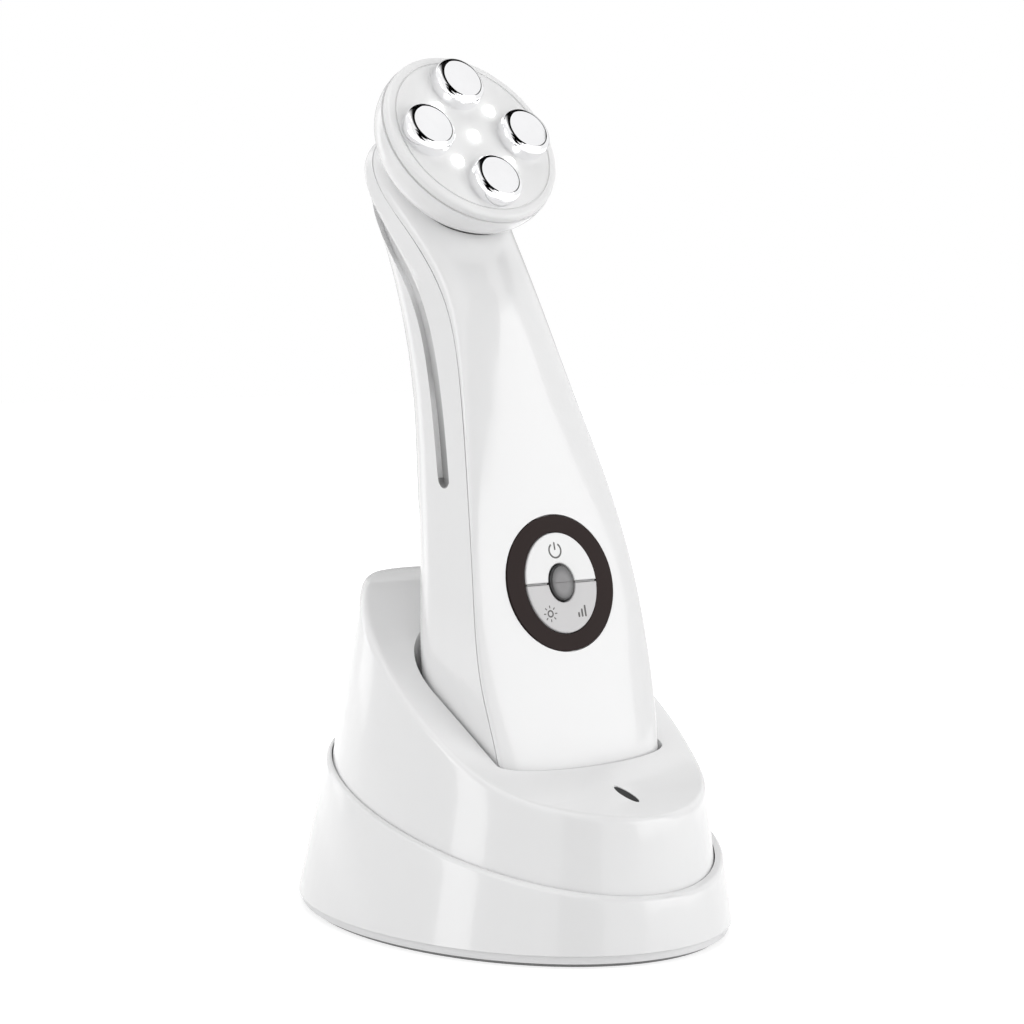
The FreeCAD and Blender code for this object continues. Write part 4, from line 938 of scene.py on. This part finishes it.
@dataclass
class Studio:
    """Floor, lights, surroundings and camera."""

    azimuth: float = -37.24
    elevation: float = 4.65
    distance: float = 0.6317
    shift_right: float = 0.0004
    shift_up: float = 0.09812
    lens: float = 89.97
    sensor: float = 36.0
    floor_size: float = 6.0
    floor_gap: float = 0.1 * MM
    floor_tone: Colour = (0.8, 0.8, 0.8)
    shadow_tone: Colour = (0.45, 0.45, 0.45)
    shadow_glow: float = 0.72
    shadow_reach: float = 0.16
    white_reach: float = 0.34
    ambient: float = 0.39
    lights: list[Softbox] = field(default_factory=lambda: [
        Softbox("key_light", (0.53, -0.85, 0.45), (0.0, 0.0, 0.12), 0.8, 0.9, 4.6),
        Softbox("top_light", (0.0, 0.1, 1.0), (0.0, 0.0, 0.1), 0.8, 0.8, 2.7),
        Softbox("left_light", (-0.8, 0.3, 0.4), (0.0, 0.0, 0.12), 0.5, 0.8, 1.2, mirrored=False),
        Softbox("strip_light", (-1.0, 0.09, 0.35), (0.0, 0.0, 0.1), 0.3, 0.9, 2.1),
        Softbox("rim_light", (-0.2, 1.0, 0.4), (0.0, 0.0, 0.12), 0.3, 0.8, 0.6),
        Softbox("fill_light", (-0.45, -0.9, 0.4), (0.0, 0.0, 0.14), 0.7, 0.7, 1.4, mirrored=False),
        Softbox("right_light", (0.8, 0.35, 0.4), (0.0, 0.0, 0.1), 0.4, 0.9, 1.5, mirrored=False),
    ])
    cards: list[Card] = field(default_factory=lambda: [
        Card("overhead_card", (0.069, -0.26, 0.74), 0.5225, 1.65, fade=0.52),
        Card("rear_card", (0.4675, 0.26, 0.74), 0.33, 0.605),
        Card("front_card", (0.355, -0.73, 0.74), 0.105, 0.715),
        Card("right_card", (0.613, -0.172, 0.74), 0.1815, 0.374),
        Card("lower_card", (-0.165, -0.98, 0.735), 0.495, 0.979),
        Card("front_screen", (-0.56, -0.89, 0.3), 0.5, 0.9, tilt=90.0, turn=-32.0),
        Card("rear_screen", (0.62, 0.68, 0.42), 0.75, 0.8, tilt=90.0, turn=-42.4, tone=0.45),
        Card("right_screen", (0.82, -0.6, 0.06), 0.6, 0.12, tilt=90.0, turn=53.0, tone=2.4),
    ])

    def add_camera(self) -> None:
        """Place the camera at the photograph's viewing angle."""
        turn = Euler((math.radians(90.0 - self.elevation), 0.0, math.radians(self.azimuth))).to_matrix()
        data = bpy.data.cameras.new("studio_camera")
        data.lens = self.lens
        data.sensor_width = self.sensor
        camera = bpy.data.objects.new("studio_camera", data)
        bpy.context.scene.collection.objects.link(camera)
        spot = turn @ Vector((self.shift_right, self.shift_up, self.distance))
        camera.matrix_world = Matrix.Translation(spot) @ turn.to_4x4()
        bpy.context.scene.camera = camera

    def add_floor(self) -> None:
        """Lay a pale floor that stays white to the camera and still takes the shadow."""
        drop_selection()
        bpy.ops.mesh.primitive_plane_add(size=self.floor_size, location=(0.0, 0.0, -self.floor_gap))
        floor = bpy.context.object
        floor.name = "studio_floor"
        material = bpy.data.materials.new("floor_white")
        material.use_nodes = True
        tree = material.node_tree
        tree.nodes.clear()
        output = tree.nodes.new("ShaderNodeOutputMaterial")
        matte = tree.nodes.new("ShaderNodeBsdfDiffuse")
        matte.inputs["Color"].default_value = (*self.floor_tone, 1.0)
        shade = tree.nodes.new("ShaderNodeBsdfDiffuse")
        shade.inputs["Color"].default_value = (*self.shadow_tone, 1.0)
        lift = tree.nodes.new("ShaderNodeEmission")
        tree.links.new(self.whiten(tree), lift.inputs["Strength"])
        lifted = tree.nodes.new("ShaderNodeAddShader")
        tree.links.new(shade.outputs[0], lifted.inputs[0])
        tree.links.new(lift.outputs[0], lifted.inputs[1])
        part_rays(tree, matte, lifted, output)
        floor.data.materials.append(material)

    def whiten(self, tree: bpy.types.NodeTree) -> Socket:
        """Return a glow that rises from the object's shadow to plain white around it.

        Args:
            tree: the floor's node tree.

        Returns:
            The strength of the glow.
        """
        place = tree.nodes.new("ShaderNodeTexCoord")
        reach = tree.nodes.new("ShaderNodeVectorMath")
        reach.operation = "LENGTH"
        fade = tree.nodes.new("ShaderNodeMapRange")
        fade.interpolation_type = "SMOOTHSTEP"
        fade.inputs["From Min"].default_value = self.shadow_reach
        fade.inputs["From Max"].default_value = self.white_reach
        fade.inputs["To Min"].default_value = self.shadow_glow
        tree.links.new(place.outputs["Object"], reach.inputs[0])
        tree.links.new(reach.outputs["Value"], fade.inputs["Value"])
        return fade.outputs["Result"]

    def add_surroundings(self) -> None:
        """Light the scene softly from all sides in front of a white background."""
        world = bpy.data.worlds.new("studio_world")
        bpy.context.scene.world = world
        world.use_nodes = True
        tree = world.node_tree
        tree.nodes.clear()
        output = tree.nodes.new("ShaderNodeOutputWorld")
        soft = tree.nodes.new("ShaderNodeBackground")
        soft.inputs["Strength"].default_value = self.ambient
        white = tree.nodes.new("ShaderNodeBackground")
        for shader in (soft, white):
            shader.inputs["Color"].default_value = WHITE
        part_rays(tree, soft, white, output)

    def build(self) -> None:
        """Set up the whole studio."""
        self.add_camera()
        self.add_floor()
        self.add_surroundings()
        for item in [*self.lights, *self.cards]:
            item.build()
        bpy.context.scene.view_settings.view_transform = "Standard"


def seen_directly(tree: bpy.types.NodeTree) -> Socket:
    """Return a factor that is one for camera, mirror and glass rays."""
    path = tree.nodes.new("ShaderNodeLightPath")
    factor = path.outputs["Is Camera Ray"]
    for kind in ("Is Glossy Ray", "Is Transmission Ray"):
        either = tree.nodes.new("ShaderNodeMath")
        either.operation = "MAXIMUM"
        tree.links.new(factor, either.inputs[0])
        tree.links.new(path.outputs[kind], either.inputs[1])
        factor = either.outputs[0]
    return factor


def part_rays(tree: bpy.types.NodeTree, lit: bpy.types.Node, seen: bpy.types.Node,
              output: bpy.types.Node) -> None:
    """Send the rays that see a thing directly to one shader and all others to another.

    Args:
        tree: the node tree of the thing.
        lit: the shader that lights the object.
        seen: the shader that shows in the picture, in mirrors and through glass.
        output: the tree's output.
    """
    mix = tree.nodes.new("ShaderNodeMixShader")
    tree.links.new(seen_directly(tree), mix.inputs[0])
    tree.links.new(lit.outputs[0], mix.inputs[1])
    tree.links.new(seen.outputs[0], mix.inputs[2])
    tree.links.new(mix.outputs[0], output.inputs["Surface"])


def main() -> None:
    """Build the device, the dock and the studio in order."""
    logging.basicConfig(level=logging.INFO)
    for assembly in (Wand(), Dock()):
        assembly.build()
        assembly.dress()
        LOG.info("%s is finished", type(assembly).__name__)
    Studio().build()
    drop_selection()


if __name__ == "__main__":
    main()
